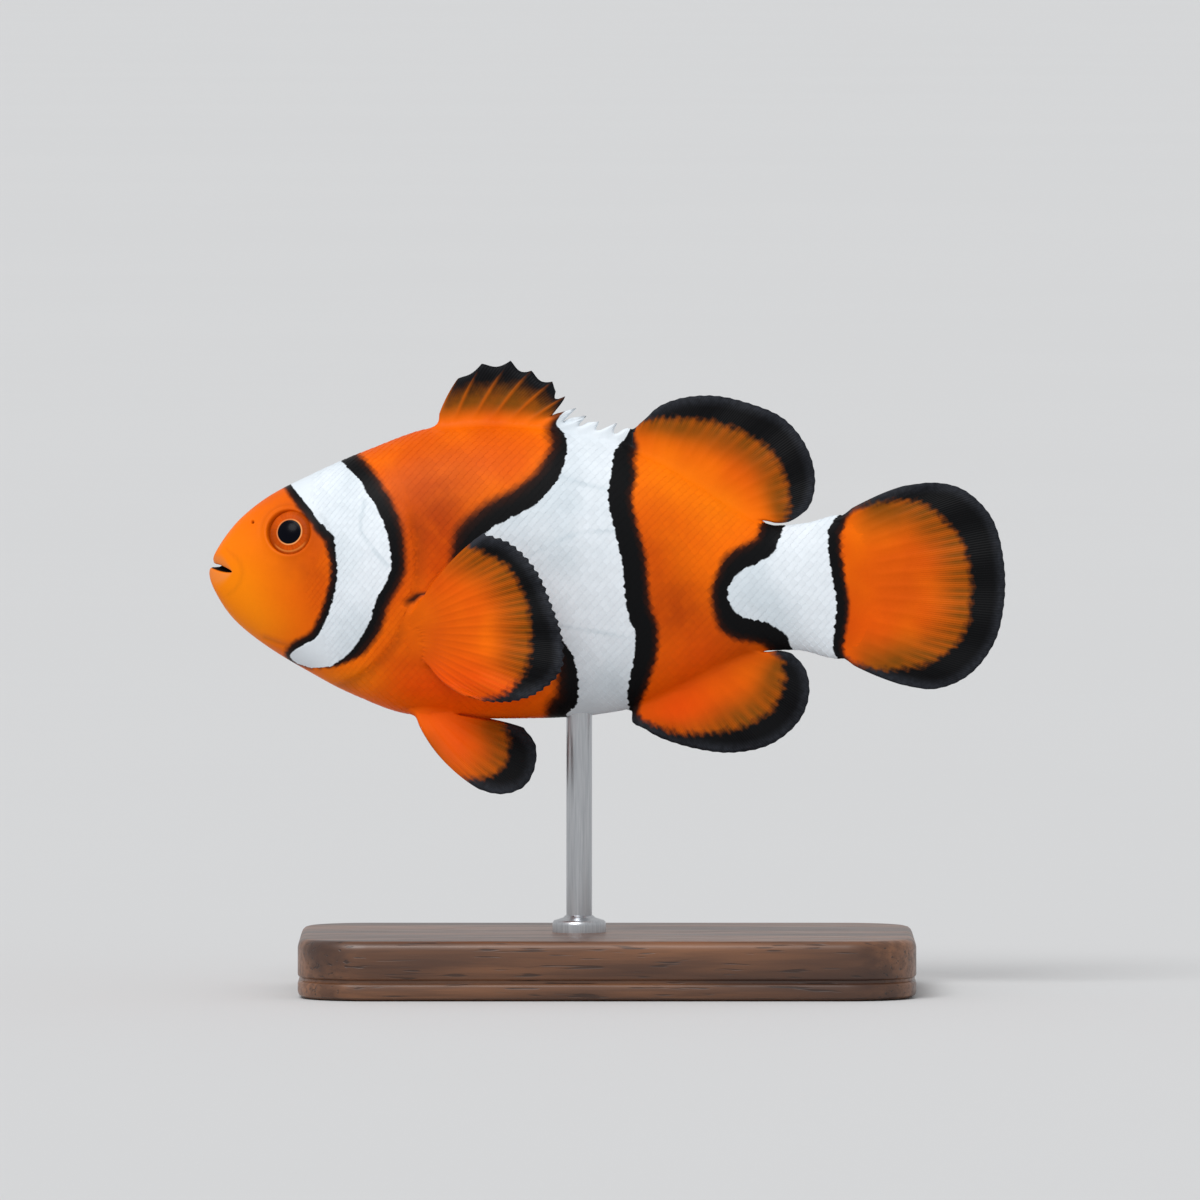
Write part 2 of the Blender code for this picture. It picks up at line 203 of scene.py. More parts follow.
# ---- the body
@dataclass
class BodyForm:
    """The fish's body without its fins, as sections across its length.

    Attributes:
        back_line: The upper profile, as (a, h).
        belly_line: The lower profile, as (a, h).
        axis_line: Where each section is broadest, as (a, h).
        breadths: Half its breadth there, as (a, x).
        back_pinches: How sharply it narrows to the back, as (a, power).
        belly_pinches: How sharply it narrows to the belly, as (a, power).
        stations: Where rings cross back, side and belly, and how round they are between.
        gill_station: The number of the ring that runs along the gill openings.
        gill_turns: The turns at the top and the lower end of the gill opening, in degrees.
    """

    back_line: Rows = ((0.35, 1.9), (0.7, 2.7), (1.3, 3.7), (3, 5.7), (6, 8.05), (10, 10.1),
                       (16, 12.7), (22.5, 14.9), (28, 15.4), (34, 15.0), (40, 13.8),
                       (45, 12.0), (50, 9.1), (54, 6.4), (57, 5.05), (60, 5.3), (63.3, 6.1),
                       (67, 5.2))
    belly_line: Rows = ((0, 0), (0.1, -0.8), (0.4, -1.8), (1, -2.9), (3, -5.1), (6, -7.4),
                        (10, -9.8), (14, -11.9), (20.5, -14.1), (29, -14.5), (36, -14.4),
                        (42, -13.6), (47, -11.8), (52, -9.3), (56, -7.7), (59, -7.6),
                        (63.3, -8.5), (67, -7.6))
    axis_line: Rows = ((0.35, 0.98), (2.4, 0.42), (6, 0.4), (12, 0.9), (22, 1.3), (34, 1.1),
                       (44, 0.4), (54, -0.8), (63.3, -1.2), (67, -1.2))
    breadths: Rows = ((0, 1.8), (1, 2.3), (2.4, 2.85), (4, 3.55), (6, 4.35), (8, 5.0),
                      (12, 5.9), (16, 6.45), (20, 6.7), (27, 6.6), (34, 6.1), (42, 5.0),
                      (50, 3.7), (57, 2.5), (63.3, 1.35), (67, 0.12))
    back_pinches: Rows = ((0, 0.95), (8, 0.95), (16, 1.05), (26, 1.25), (50, 1.3), (58, 1.1),
                          (63.3, 1.0), (67, 1.0))
    belly_pinches: Rows = ((0, 0.95), (12, 0.9), (22, 0.85), (36, 1.0), (50, 1.3), (58, 1.1),
                           (63.3, 1.0), (67, 1.0))
    stations: Rows = ((0.45, 2.4, 0.05, 1.0), (1.6, 3.3, 1.4, 1.4), (4.0, 5.2, 4.0, 2.0),
                      (8.5, 10.0, 7.5, 2.0), (16.5, 20.6, 12.0, 2.0), (23.5, 26.5, 21.5, 2.0),
                      (33.0, 33.5, 33.0, 2.0), (57.0, 57.0, 57.0, 2.0), (63.3, 63.3, 63.3, 2.0),
                      (67.0, 67.0, 67.0, 2.0))
    gill_station: int = 4
    gill_turns: tuple[float, float] = (62.0, -88.0)

    def __post_init__(self) -> None:
        """Fits the curves once."""
        self.back, self.belly, self.axis, self.breadth = (
            profile(rows) for rows in (self.back_line, self.belly_line, self.axis_line,
                                       self.breadths))
        self.back_pinch, self.belly_pinch = profile(self.back_pinches), profile(self.belly_pinches)
        self.station = [profile(list(enumerate(column))) for column in zip(*self.stations)]

    def surface(self, a: Array, turn: Array) -> Array:
        """Finds points of the body's surface.

        Args:
            a: Places along the body.
            turn: The turn round each section from the left side, towards the back.

        Returns:
            Rows of (x, a, h).
        """
        side, up = np.cos(turn), np.sin(turn)
        level = self.axis(a)
        reach = np.where(up > 0, self.back(a) - level, level - self.belly(a))
        pinch = np.where(up > 0, self.back_pinch(a), self.belly_pinch(a))
        x = self.breadth(a) * np.sign(side) * np.abs(side) ** pinch
        return np.stack([x, a + 0 * turn, level + reach * up], axis=-1)

    def normal(self, a: Array, turn: Array) -> Array:
        """Finds the outward direction of the body's surface.

        Args:
            a: Places along the body.
            turn: The turn round each section, as surface takes it.

        Returns:
            Rows of unit length.
        """
        step, part_turn = 0.05, 0.01
        along = self.surface(a + step, turn) - self.surface(a - step, turn)
        around = self.surface(a, turn + part_turn) - self.surface(a, turn - part_turn)
        out = np.cross(along, around)
        out /= np.linalg.norm(out, axis=-1, keepdims=True) + TINY
        facing = np.stack([np.cos(turn), 0 * turn + 0 * a, np.sin(turn)], axis=-1)
        return out * np.sign((out * facing).sum(axis=-1, keepdims=True))

    def half_breadth(self, a: Array, h: Array) -> Array:
        """Finds half the body's breadth at places seen from the side.

        Args:
            a: Places along the body.
            h: Their heights.

        Returns:
            How far the left side stands from the middle plane there.
        """
        level = self.axis(a)
        reach = np.where(h > level, self.back(a) - level, level - self.belly(a))
        share = np.clip(np.abs(h - level) / reach, 0, 0.9999)
        pinch = np.where(h > level, self.back_pinch(a), self.belly_pinch(a))
        return self.breadth(a) * np.sqrt(1 - share ** 2) ** pinch

    def outward(self, a: Array, h: Array) -> Array:
        """Finds the outward direction of the left side at places seen from the side.

        Args:
            a: Places along the body.
            h: Their heights.

        Returns:
            Rows of unit length.
        """
        step = 0.25
        run = (self.half_breadth(a + step, h) - self.half_breadth(a - step, h)) / (2 * step)
        rise = (self.half_breadth(a, h + step) - self.half_breadth(a, h - step)) / (2 * step)
        out = np.stack([np.ones_like(run), -run, -rise], axis=-1)
        return out / np.linalg.norm(out, axis=-1, keepdims=True)

    def ring_places(self, number: Array, turn: Array) -> Array:
        """Finds where along the body the numbered rings pass.

        Args:
            number: The rings' numbers, counted in stations.
            turn: The turn round each ring.

        Returns:
            The place along the body at each turn.
        """
        at_back, at_side, at_belly, power = (read(number) for read in self.station)
        at_end = np.where(np.sin(turn) > 0, at_back, at_belly)
        return at_side + (at_end - at_side) * np.abs(np.sin(turn)) ** power

    def ring_number(self, side_place: Array) -> Array:
        """The number of the ring that crosses the side at each place."""
        numbers = np.linspace(0, len(self.stations) - 1, 2000)
        return np.interp(side_place, self.station[1](numbers), numbers)

    def gill_edge(self) -> Array:
        """The gill cover's rear edge from its top round to the throat, as rows of (a, h)."""
        turn = np.radians(np.linspace(*self.gill_turns, 160))
        return self.surface(self.ring_places(self.gill_station + 0 * turn, turn), turn)[:, 1:]

    def behind_gills(self, flat: Array) -> Array:
        """Measures places seen from the side against the gill cover's rear edge.

        Args:
            flat: Rows of (a, h).

        Returns:
            How far each lies behind the edge, negative in front of it.
        """
        edge = self.gill_edge()
        distance, row = nearest(flat, edge)
        return np.where(flat[:, 0] > edge[row, 0], distance, -distance)


@dataclass(frozen=True)
class Pocket:
    """A round place of the head whose skin is an inset of finer rings.

    Attributes:
        middle: Its centre, as (a, h).
        edge: How far the inset reaches.
        slope: How steeply the body's own grid sinks under it.
        sunk: How deep that grid sinks.
        radii: The inset's rings, as (radius, rings up to it).
        around: How many points lie round each ring.
        root: How deep the inset's underside lies.
        dark: How strongly painted shade darkens its pits, as a share of the crease shade.
    """

    middle: tuple[float, float]
    edge: float
    slope: float
    sunk: float
    radii: Rows
    around: int
    root: float
    dark: float

    def gap(self, flat: Array) -> Array:
        """How far flat points are from its centre."""
        return np.linalg.norm(flat - self.middle, axis=1)


@dataclass(frozen=True)
class HeadRelief:
    """What stands up from or is sunk into the body's smooth form, in millimetres.

    Ridges are rows of (height, distance off their line, half width), negative for grooves.
    Pits are (depth, where their wall starts, where it ends).

    Attributes:
        form: The body it lies on.
        eye: The place round the eye.
        eye_radius: The radius of the eye's opening in the skin.
        socket: The pit that holds the eyeball, off the opening's edge.
        lid: The ridges off the opening's edge.
        folds: The ridges above and in front of the eye, off a ring of fold_radius.
        fold_radius: How far from the eye's centre they run.
        nostril: The place round the nostril.
        nostril_rim: The ridges round its centre.
        nostril_pit: The pit at its centre.
        cheek_edge: The line of the cheek's rear edge, as (a, h).
        cheek_ridges: The ridges along it.
        jaw_fold: The fold behind the mouth's corner, as (a, h).
        jaw_ridges: The ridges along it.
        fin_notch: The hollow above the pectoral fin's root, as (a, h).
        notch_ridges: The ridges along it.
        fin_base: The middle of the pectoral fin's root, as (a, h).
        fin_swell: How high the body swells round that root, and how far.
        gill_rise: How high the gill cover's rear edge stands.
        gill_slit: How deep the slit behind it is.
    """

    form: BodyForm
    eye: Pocket = Pocket((7.95, 4.5), edge=3.05, slope=1.2, sunk=2.0, around=120, root=3.8,
                         radii=((0.4, 1), (1.6, 5), (2.5, 21), (3.4, 31)), dark=0.3)
    eye_radius: float = 2.25
    socket: tuple[float, float, float] = (1.3, 0.05, -0.5)
    lid: Rows = ((0.07, 0.22, 0.22),)
    folds: Rows = ((-0.1, 0.0, 0.2), (0.04, 0.4, 0.25))
    fold_radius: float = 2.72
    nostril: Pocket = Pocket((4.3, 5.45), edge=0.45, slope=1.8, sunk=0.6, around=40, root=1.0,
                             radii=((0.05, 1), (0.35, 10), (0.75, 16)), dark=0.55)
    nostril_rim: Rows = ((0.05, 0.21, 0.08),)
    nostril_pit: tuple[float, float, float] = (0.34, 0.18, 0.07)
    cheek_edge: Rows = ((11.4, 6.2), (12.5, 3.5), (12.7, 0.5), (12.0, -3.0), (10.4, -5.9),
                        (8.0, -7.0), (5.5, -6.3))
    cheek_ridges: Rows = ((0.03, 0.5, 0.4), (-0.05, 0.0, 0.25))
    jaw_fold: Rows = ((1.5, 2.6), (2.9, 1.6), (3.3, 0.4), (2.9, -0.9), (1.9, -2.0))
    jaw_ridges: Rows = ((0.015, 0.5, 0.35), (-0.03, 0.0, 0.34))
    fin_notch: Rows = ((19.8, -2.6), (20.5, -2.25), (21.6, -1.9))
    notch_ridges: Rows = ((-0.36, 0.0, 0.36),)
    fin_base: tuple[float, float] = (21.8, -5.4)
    fin_swell: tuple[float, float] = (0.2, 1.6)
    gill_rise: float = 0.09
    gill_slit: float = 0.07

    def height(self, points: Array) -> Array:
        """Finds how far the surface is raised, or sunk where negative.

        Args:
            points: Rows of (x, a, h) on the smooth form.

        Returns:
            The height of the relief at each point.
        """
        flat = points[:, 1:]
        sideways = np.abs(points[:, 0])
        made = self.round_eye(flat) + self.round_nostril(flat) + self.gill_cover(flat, sideways)
        on_side = ease(sideways, 0.5, 2.0)
        for line, rows, count in ((self.cheek_edge, self.cheek_ridges, 200),
                                  (self.jaw_fold, self.jaw_ridges, 120),
                                  (self.fin_notch, self.notch_ridges, 60)):
            made += ridges(gap_to(flat, line, count), rows) * on_side
        around_fin = np.linalg.norm((flat - self.fin_base) * (1.0, 0.45), axis=1)
        height, width = self.fin_swell
        return made + height * bell(around_fin, width)

    def round_eye(self, flat: Array) -> Array:
        """Finds the socket with its lid, and the folds above and in front of the eye.

        Args:
            flat: Rows of (a, h).

        Returns:
            The height of the relief at each point.
        """
        off = flat - self.eye.middle
        gap = np.hypot(*off.T)
        depth, start, end = self.socket
        made = -depth * ease(gap, self.eye_radius + start, self.eye_radius + end)
        made += ridges(gap - self.eye_radius, self.lid)
        above_front = ease(off @ (-0.6, 0.8) / (gap + 0.1), -0.1, 0.8)
        return made + ridges(gap - self.fold_radius, self.folds) * above_front

    def round_nostril(self, flat: Array) -> Array:
        """The nostril's low rim and its pit."""
        gap, (depth, *wall) = self.nostril.gap(flat), self.nostril_pit
        return ridges(gap, self.nostril_rim) - depth * ease(gap, *wall)

    def gill_cover(self, flat: Array, sideways: Array) -> Array:
        """Finds the gill cover's raised rear edge and the slit behind it.

        Args:
            flat: Rows of (a, h).
            sideways: How far each point stands from the middle plane.

        Returns:
            The height of the relief at each point.
        """
        behind = self.form.behind_gills(flat)
        shown = ease(flat[:, 1], 7.5, 4.0) * ease(sideways, 0.3, 1.8)
        cover = self.gill_rise * ease(behind, -2.6, -0.2) * ease(behind, 0.3, -0.1)
        slit = self.gill_slit * ease(behind, -0.1, 0.3) * ease(behind, 1.9, 0.3)
        return shown * (cover - slit)

    def hollow(self, flat: Array) -> Array:
        """The height of the body's own grid where an inset takes its place, 0 or less."""
        return -sum(np.clip((place.edge - place.gap(flat)) * place.slope, 0, place.sunk)
                    for place in (self.eye, self.nostril))


# ---- markings
@dataclass(frozen=True)
class Bar:
    """A white bar with black margins, seen from the side.

    Attributes:
        front: The white's front edge, as (h, a).
        rear: Its rear edge, as (h, a).
        front_margin: How broad the black in front is, as (h, breadth).
        rear_margin: How broad the black behind is, as (h, breadth).
        blurs: How far the front and the rear margin fade into the orange.
    """

    front: Rows
    rear: Rows
    front_margin: Rows
    rear_margin: Rows
    blurs: tuple[float, float]

    def measure(self, flat: Array) -> tuple[Array, Array, Array]:
        """Measures flat points against the bar's edges.

        Args:
            flat: Rows of (a, h).

        Returns:
            How deep each point lies in the white, how deep inside the black's outer edge,
            both negative outside, and how far that edge fades.
        """
        deep = []
        for edge, sign in ((self.front, 1), (self.rear, -1)):
            heights = np.linspace(edge[0][0], edge[-1][0], 260)
            read = profile(edge)
            distance, _ = nearest(flat, np.stack([read(heights), heights], axis=1))
            deep.append(np.sign(sign * (flat[:, 0] - read(flat[:, 1]))) * distance)
        in_front = deep[0] + profile(self.front_margin)(flat[:, 1])
        in_rear = deep[1] + profile(self.rear_margin)(flat[:, 1])
        blur = np.where(in_front < in_rear, *self.blurs)
        return np.minimum(*deep), np.minimum(in_front, in_rear), blur


class Bars(Enum):
    """The three white bars."""

    HEAD = Bar(
        front=((-9.3, 10.2), (-8.8, 8.7), (-8.1, 8.1), (-7.4, 8.7), (-6.9, 9.5), (-6.2, 10.7),
               (-5.5, 11.2), (-3, 12.2), (-1.5, 12.6), (0.5, 12.85), (2.5, 12.7), (3.9, 12.55),
               (4.6, 11.95), (7, 10), (9.1, 8.2), (10.5, 7.0)),
        rear=((-9.3, 10.2), (-9.1, 12), (-8.4, 13.2), (-7.2, 14.4), (-4.3, 16.2), (-2.8, 16.6),
              (-1.5, 17.2), (0, 18), (1.2, 18.3), (3.8, 18), (6.6, 17), (8.2, 16), (9.8, 15),
              (11.4, 13.3), (13, 11.5)),
        front_margin=((-9.2, 0.1), (-8.2, 0.5), (-6.5, 0.8), (-3, 0.85), (1, 0.7), (4, 1.0),
                      (7, 0.9), (9, 0.75)),
        rear_margin=((-9.4, 0.1), (-9.0, 0.4), (-7.5, 1.3), (-3, 1.45), (1, 1.5), (5, 1.7),
                     (9, 1.75), (12, 1.7)),
        blurs=(0.35, 0.5))
    MIDDLE = Bar(
        front=((-16, 36.9), (-14.6, 36.3), (-14.0, 35.9), (-13.4, 36.5), (-12.5, 37), (-11, 37.05),
               (-9.5, 36.9), (-8, 36.5), (-6.6, 35.7), (-5.6, 34.6), (-4.4, 32.4), (-3, 29.6),
               (-1, 27.0), (1.4, 25.9), (3.2, 26.3), (4.5, 27.8), (5.2, 28.8), (5.9, 30.2),
               (6.8, 32), (7.9, 33.4), (8.8, 34.3), (10.2, 35.2), (11.6, 35.7), (13, 35.95),
               (14.2, 35.7), (15.3, 34.9), (18, 37.5)),
        rear=((-16, 43.0), (-14.2, 42.4), (-12, 42.0), (-10, 42.3), (-8.5, 42.6), (-7, 42.8),
              (-5.5, 42.75), (-4.3, 42.2), (-2.3, 41.8), (1.2, 41.5), (3, 41.1), (4.7, 40.7),
              (6.3, 40.3), (8, 40.05), (10.5, 40.4), (12.2, 40.6), (12.9, 41), (14, 42),
              (15.6, 42.7), (18, 44)),
        front_margin=((-14.5, 2.2), (-12, 2.3), (-8, 1.9), (-4, 1.6), (2, 1.8), (6, 2.4),
                      (9, 2.6), (11, 2.3), (13, 1.8), (14.5, 1.3), (15.6, 0.5), (16.5, 0.0)),
        rear_margin=((-14, 0.8), (-11, 2.0), (-5, 2.4), (2, 2.5), (7, 2.4), (10, 2.55),
                     (12.5, 1.8), (14.3, 0.6), (15.5, 0.1)),
        blurs=(0.75, 0.45))
    TAIL = Bar(
        front=((-9.5, 60.5), (-7.7, 58.7), (-7, 58.4), (-6.1, 58), (-5.5, 57.3), (-4.9, 56.4),
               (-4.5, 55.2), (-4.2, 53.6), (-3.4, 52.6), (-2.5, 52.2), (-1.5, 52.1),
               (-0.4, 52.5), (0.4, 53.2), (0.9, 54.2), (1.5, 55.5), (2, 56.3), (2.9, 57),
               (4, 57.4), (5.2, 57.9), (7, 59)),
        rear=((-10, 63.6), (-8.3, 63.1), (-7.3, 62.7), (-6, 62.8), (-3, 63.05), (0, 62.6),
              (3, 62.2), (4.5, 62.2), (6, 63.2), (8, 64.8)),
        front_margin=((-8, 2.3), (-6, 2.4), (-3, 1.8), (0, 1.7), (3, 2.3), (5, 2.3)),
        rear_margin=((-8.4, 0.9), (-4, 1.35), (0, 1.35), (4, 1.35), (6.4, 0.9)),
        blurs=(0.5, 0.35))


# Soft patches of other oranges, as (a, h, reach along, reach up, strength).
TINTS: dict[str, Rows] = {
    "golden": ((2.5, -1.5, 4.5, 5.5, 1.0), (5.5, -5.5, 4.0, 3.0, 0.5),
               (12.5, -10.5, 4.0, 1.8, 0.6), (46.5, 10.0, 4.0, 4.5, 0.35),
               (51.5, 7.0, 3.0, 2.5, 0.4)),
    "deep": ((23.0, 5.5, 4.5, 6.0, 0.9), (20.0, -6.0, 4.0, 5.0, 0.3),
             (47.0, -3.5, 4.0, 3.5, 0.75), (11.0, 1.0, 1.8, 6.0, 0.35),
             (8.5, 5.0, 3.4, 3.0, 0.55), (8.5, 0.8, 2.6, 2.0, 0.35),
             (54.0, -7.0, 4.0, 2.0, 0.4), (49.0, -12.0, 7.0, 4.0, 0.3),
             (66.0, -5.0, 3.5, 3.5, 0.35), (71.5, 0.0, 4.0, 7.0, 0.3),
             (45.0, 2.5, 3.5, 3.5, 0.35)),
    "ruddy": ((47.0, -13.5, 5.5, 3.5, 0.6), (21.0, -11.5, 4.0, 2.5, 0.5),
              (27.5, -10.6, 4.5, 2.6, 0.6), (25.5, -18.0, 4.0, 4.5, 0.45),
              (25.0, 1.0, 3.5, 4.0, 0.25), (48.5, -8.0, 4.0, 3.0, 0.3),
              (31.0, -12.5, 4.0, 2.0, 0.35), (66.0, -5.0, 3.0, 3.0, 0.3))}
# The bars that run on over a part of the fish, by the number in its marks.
BAR_SETS = (tuple(Bars), (Bars.MIDDLE,), (Bars.TAIL,), ())
# The faint grey lines in the white, as rows of (a, h).
VEINS = (((35.0, 10.2), (38.0, 9.2), (40.5, 8.6)),
         ((30.0, 0.8), (33.0, 2.6), (36.5, 4.2), (41.3, 4.7)),
         ((33.0, -4.5), (37.0, -5.2), (42.3, -6.2)),
         ((15.6, 7.6), (15.3, 4.6), (16.4, 2.9), (17.9, 1.2)))
VEIN_WIDTH = 0.2


def tinted(flat: Array, rows: Rows) -> Array:
    """How strong soft patches, in rows as in TINTS, are at flat places, from 0 to 1."""
    patches = (strength * np.exp(-(((flat - (a, h)) / (along, up)) ** 2).sum(axis=1))
               for a, h, along, up, strength in rows)
    return np.clip(sum(patches), 0, 1)


def coat_marks(flat: Array, bars: Sequence[Bars]) -> dict[str, Array]:
    """Measures the marks of the coat, alike for skin and scales, as seen from the side.

    Args:
        flat: Rows of (a, h).
        bars: The bars that this part of the fish can carry.

    Returns:
        For each mark, its measure at each place.
    """
    white, black, blur = (np.full(len(flat), value) for value in (-FAR, -FAR, 0.3))
    for bar in bars:
        in_white, in_black, fade = bar.value.measure(flat)
        blur = np.where(in_black > black, fade, blur)
        black = np.maximum(black, in_black)
        white = np.maximum(white, in_white)
    marks = {"white": white, "black": black, "blur": blur}
    marks |= {name: tinted(flat, rows) for name, rows in TINTS.items()}
    marks["vein"] = sum(bell(gap_to(flat, line, 60), VEIN_WIDTH) for line in VEINS)
    return marks


# ---- meshes
@dataclass
class Shell:
    """A closed surface on its way to becoming part of a mesh.

    Attributes:
        points: Rows of (x, a, h) in millimetres.
        faces: Rows of corner numbers.
        marks: A named number for each point.
    """

    points: Array
    faces: Faces
    marks: dict[str, Array] = field(default_factory=dict)


def both_sides(left: Shell) -> list[Shell]:
    """A shell of the fish's left side, and its mirror image."""
    right = Shell(left.points * (-1, 1, 1), [face[::-1] for face in left.faces], left.marks)
    return [left, right]


# How deep a crease or pit is where its painted shade reaches full strength.
CREASE_DEPTH = 0.25


def shade_from_depth(raised: Array) -> Array:
    """How far painted shade darkens places in creases and pits, from how far they are raised or
    sunk.
    """
    return np.clip(-raised / CREASE_DEPTH, 0, 1)


def no_marks(count: int) -> dict[str, Array]:
    """Sets out the marks of points that are on no fin or lip and carry no painted crease shade.

    Args:
        count: How many points there are.

    Returns:
        A measure for each mark at each point.
    """
    nothing = {"margin": -FAR, "edge": FAR, "tone": 0.5}
    names = ("margin", "edge", "ray", "reach", "fin", "spine", "bars", "lip", "gullet_shade", "crease_shade",
             "tone", "tip", "pale")
    return {name: np.full(count, nothing.get(name, 0.0)) for name in names}


def grid_faces(numbers: Array, closed: bool = False) -> Faces:
    """Lists the four-sided faces of a grid of point numbers.

    Args:
        numbers: Point numbers in rows and columns.
        closed: Whether each row's end joins its start.

    Returns:
        The faces.
    """
    after = np.roll(numbers, -1, axis=1) if closed else numbers[:, 1:]
    here = numbers if closed else numbers[:, :-1]
    corners = (here[:-1], after[:-1], after[1:], here[1:])
    return [tuple(row) for row in np.stack(corners, -1).reshape(-1, 4).tolist()]


def fan_faces(ring: Array, pole: int) -> Faces:
    """Lists the triangles between a closed ring of point numbers and a pole."""
    return [(here, there, pole) for here, there in zip(ring.tolist(), np.roll(ring, -1).tolist())]


def round_faces(grid: Array) -> Faces:
    """The faces of closed rings of point numbers, and of the two poles numbered after them."""
    return (grid_faces(grid, closed=True) + fan_faces(grid[0][::-1], grid.size)
            + fan_faces(grid[-1], grid.size + 1))


def grid_normals(points: Array) -> Array:
    """The unit normal at each point of a grid, in the sense columns cross rows."""
    out = np.cross(np.gradient(points, axis=1), np.gradient(points, axis=0))
    return out / (np.linalg.norm(out, axis=-1, keepdims=True) + TINY)


def add_object(name: str, data: bpy.types.ID) -> Object:
    """Adds an object with this data to the scene.

    Args:
        name: The object's name.
        data: Its mesh, lamp or camera.

    Returns:
        The object.
    """
    made = bpy.data.objects.new(name, data)
    bpy.context.scene.collection.objects.link(made)
    return made


def face_outwards(mesh: Mesh, weld: float = 0.0) -> None:
    """Turns a closed mesh's faces outwards.

    Args:
        mesh: The mesh.
        weld: How close points are made one before.
    """
    work = bmesh.new()
    work.from_mesh(mesh)
    if weld:
        bmesh.ops.remove_doubles(work, verts=work.verts, dist=weld)
    bmesh.ops.recalc_face_normals(work, faces=work.faces)
    work.to_mesh(mesh)
    work.free()


def make_piece(name: str, shell: Shell, fish: FishFrame) -> Object:
    """Makes a shell one mesh object in the shared frame.

    Args:
        name: The piece's name.
        shell: The closed surface.
        fish: The fish's frame.

    Returns:
        The object, smooth shaded, with its marks as attributes.
    """
    mesh = bpy.data.meshes.new(name)
    mesh.from_pydata(fish.world(shell.points).tolist(), [], shell.faces)
    for mark, value in shell.marks.items():
        mesh.attributes.new(mark, "FLOAT", "POINT").data.foreach_set("value", value)
    mesh.shade_smooth()
    mesh.validate()
    return add_object(name, mesh)


# ---- fins
@dataclass(frozen=True)
class FinForm:
    """A fin as rays from a root line to a tip line, seen from the side.

    Attributes:
        roots: The root line, as (a, h), or each spine's root.
        tips: The tip line, as (a, h), or each spine's tip.
        rays: How many rays or spines it has.
        columns: Columns of points for each ray.
        rows: Rows of points from root to tip.
        bow: How far the first and last ray are bowed forwards.
        inner: The line where the black margin starts, as (a, h).
        outside: 1 where the margin lies left of that line as it runs, or else -1.
        thick: Half the thickness at the root, the edge, and added on a ray.
        flare: Half the breadth added where the root meets the body, and how soon it fades.
        sink: How far the root runs on inside the body.
        teeth: How far the ends of the rays stand out of the edge.
        wave: How far the edge waves from side to side.
        spiny: Whether the rays are spines, with the membrane notched between them.
        notches: How deep those notches are in shares of a spine, as (ray, share).
        bars: The number in BAR_SETS of the bars that run on over it.
        pale: How pale its leading edge is.
    """

    roots: Rows
    tips: Rows
    rays: int
    columns: int
    rows: int
    bow: tuple[float, float]
    inner: Rows
    outside: int
    thick: tuple[float, float, float] = (0.45, 0.12, 0.045)
    flare: tuple[float, float] = (0.3, 0.9)
    sink: float = 1.6
    teeth: float = 0.035
    wave: float = 0.25
    spiny: bool = False
    notches: Rows = ((0, 0.08), (4.5, 0.08), (6, 0.78), (10, 0.78), (11, 0))
    bars: int = 1
    pale: float = 0.0

    def lines(self) -> tuple[Array, Array, Array]:
        """Works out where each column of points runs.

        Returns:
            The columns' roots, their tips, and their places counted in rays.
        """
        count = (self.rays - 1) * self.columns + 1
        ray = np.linspace(0, self.rays - 1, count)
        share = ray / (self.rays - 1)
        if not self.spiny:
            return line_through(self.roots)(share), line_through(self.tips)(share), ray
        root, tip = (np.stack([np.interp(ray, np.arange(self.rays), column)
                               for column in zip(*ends)], axis=1)
                     for ends in (self.roots, self.tips))
        within = ray - np.floor(ray)
        depth = np.interp(ray, *zip(*self.notches))
        notch = depth * np.sin(HALF_TURN * within ** 1.5) ** 0.8
        return root, tip + (root - tip) * notch[:, None], ray

    def flat(self) -> tuple[Array, Array, Array, Array]:
        """Works out the fin's points seen from the side.

        Returns:
            The points in columns and rows, how far along its ray and from the root each is,
            in shares and millimetres, and each column's place counted in rays.
        """
        root, tip, ray = self.lines()
        length = np.linalg.norm(tip - root, axis=1)
        share = np.linspace(0, 1, self.rows)[None] ** 1.15
        sunk = self.sink / np.maximum(length, 0.5)
        share = share * (1 + sunk[:, None]) - sunk[:, None]
        along = (tip - root) / length[:, None]
        across = np.stack([-along[:, 1], along[:, 0]], axis=1)
        lean = np.linspace(*self.bow, len(ray))
        arch = 4 * np.clip(share, 0, 1) * (1 - share) * lean[:, None]
        tooth = self.teeth * np.cos(2 * HALF_TURN * ray * (1 if self.spiny else 2))
        outward = np.clip(share, 0, 1) ** 8 * tooth[:, None]
        points = (root[:, None] + along[:, None] * (share * length[:, None] + outward)[..., None]
                  + across[:, None] * arch[..., None])
        return points, share, share * length[:, None], ray

    def half_thickness(self, share: Array, distance: Array, ray: Array) -> Array:
        """Finds half the fin's thickness at each point, with its rays as ridges.

        Args:
            share: How far along its ray each point is.
            distance: How far from the root it is, in millimetres.
            ray: Each column's place counted in rays.

        Returns:
            The half thickness of each point.
        """
        root, edge, ridge = self.thick
        body = edge + (root - edge) * np.exp(-np.clip(distance, 0, None) / 4.0)
        one = np.abs(np.cos(HALF_TURN * ray)) ** 6
        two = np.abs(np.cos(2 * HALF_TURN * ray)) ** 4
        split = ease(share, 0.4, 0.65)
        if self.spiny:
            crest = one[:, None] ** 2 * np.ones_like(share)
        else:
            crest = one[:, None] * (1 - split) + 0.8 * two[:, None] * split
        crest *= ease(share, -0.02, 0.12 if self.spiny else 0.4) * (1 - 0.6 * ease(share, 0.6, 1.0))
        spread, fade = self.flare
        flare = spread * np.exp(-(distance + self.sink * 0.5) / fade)
        body = (body + ridge * crest + flare) * (1 - 0.75 * ease(share, 0.93, 1.0))
        from_side = np.minimum(ray, self.rays - 1 - ray)[:, None]
        if self.spiny:
            body *= 1 - 0.5 * ease(ray, self.rays - 3, self.rays - 1.3)[:, None]
        return body * (1 - 0.6 * ease(from_side, 0.25, 0.0) * ease(distance, 0.5, 1.5))

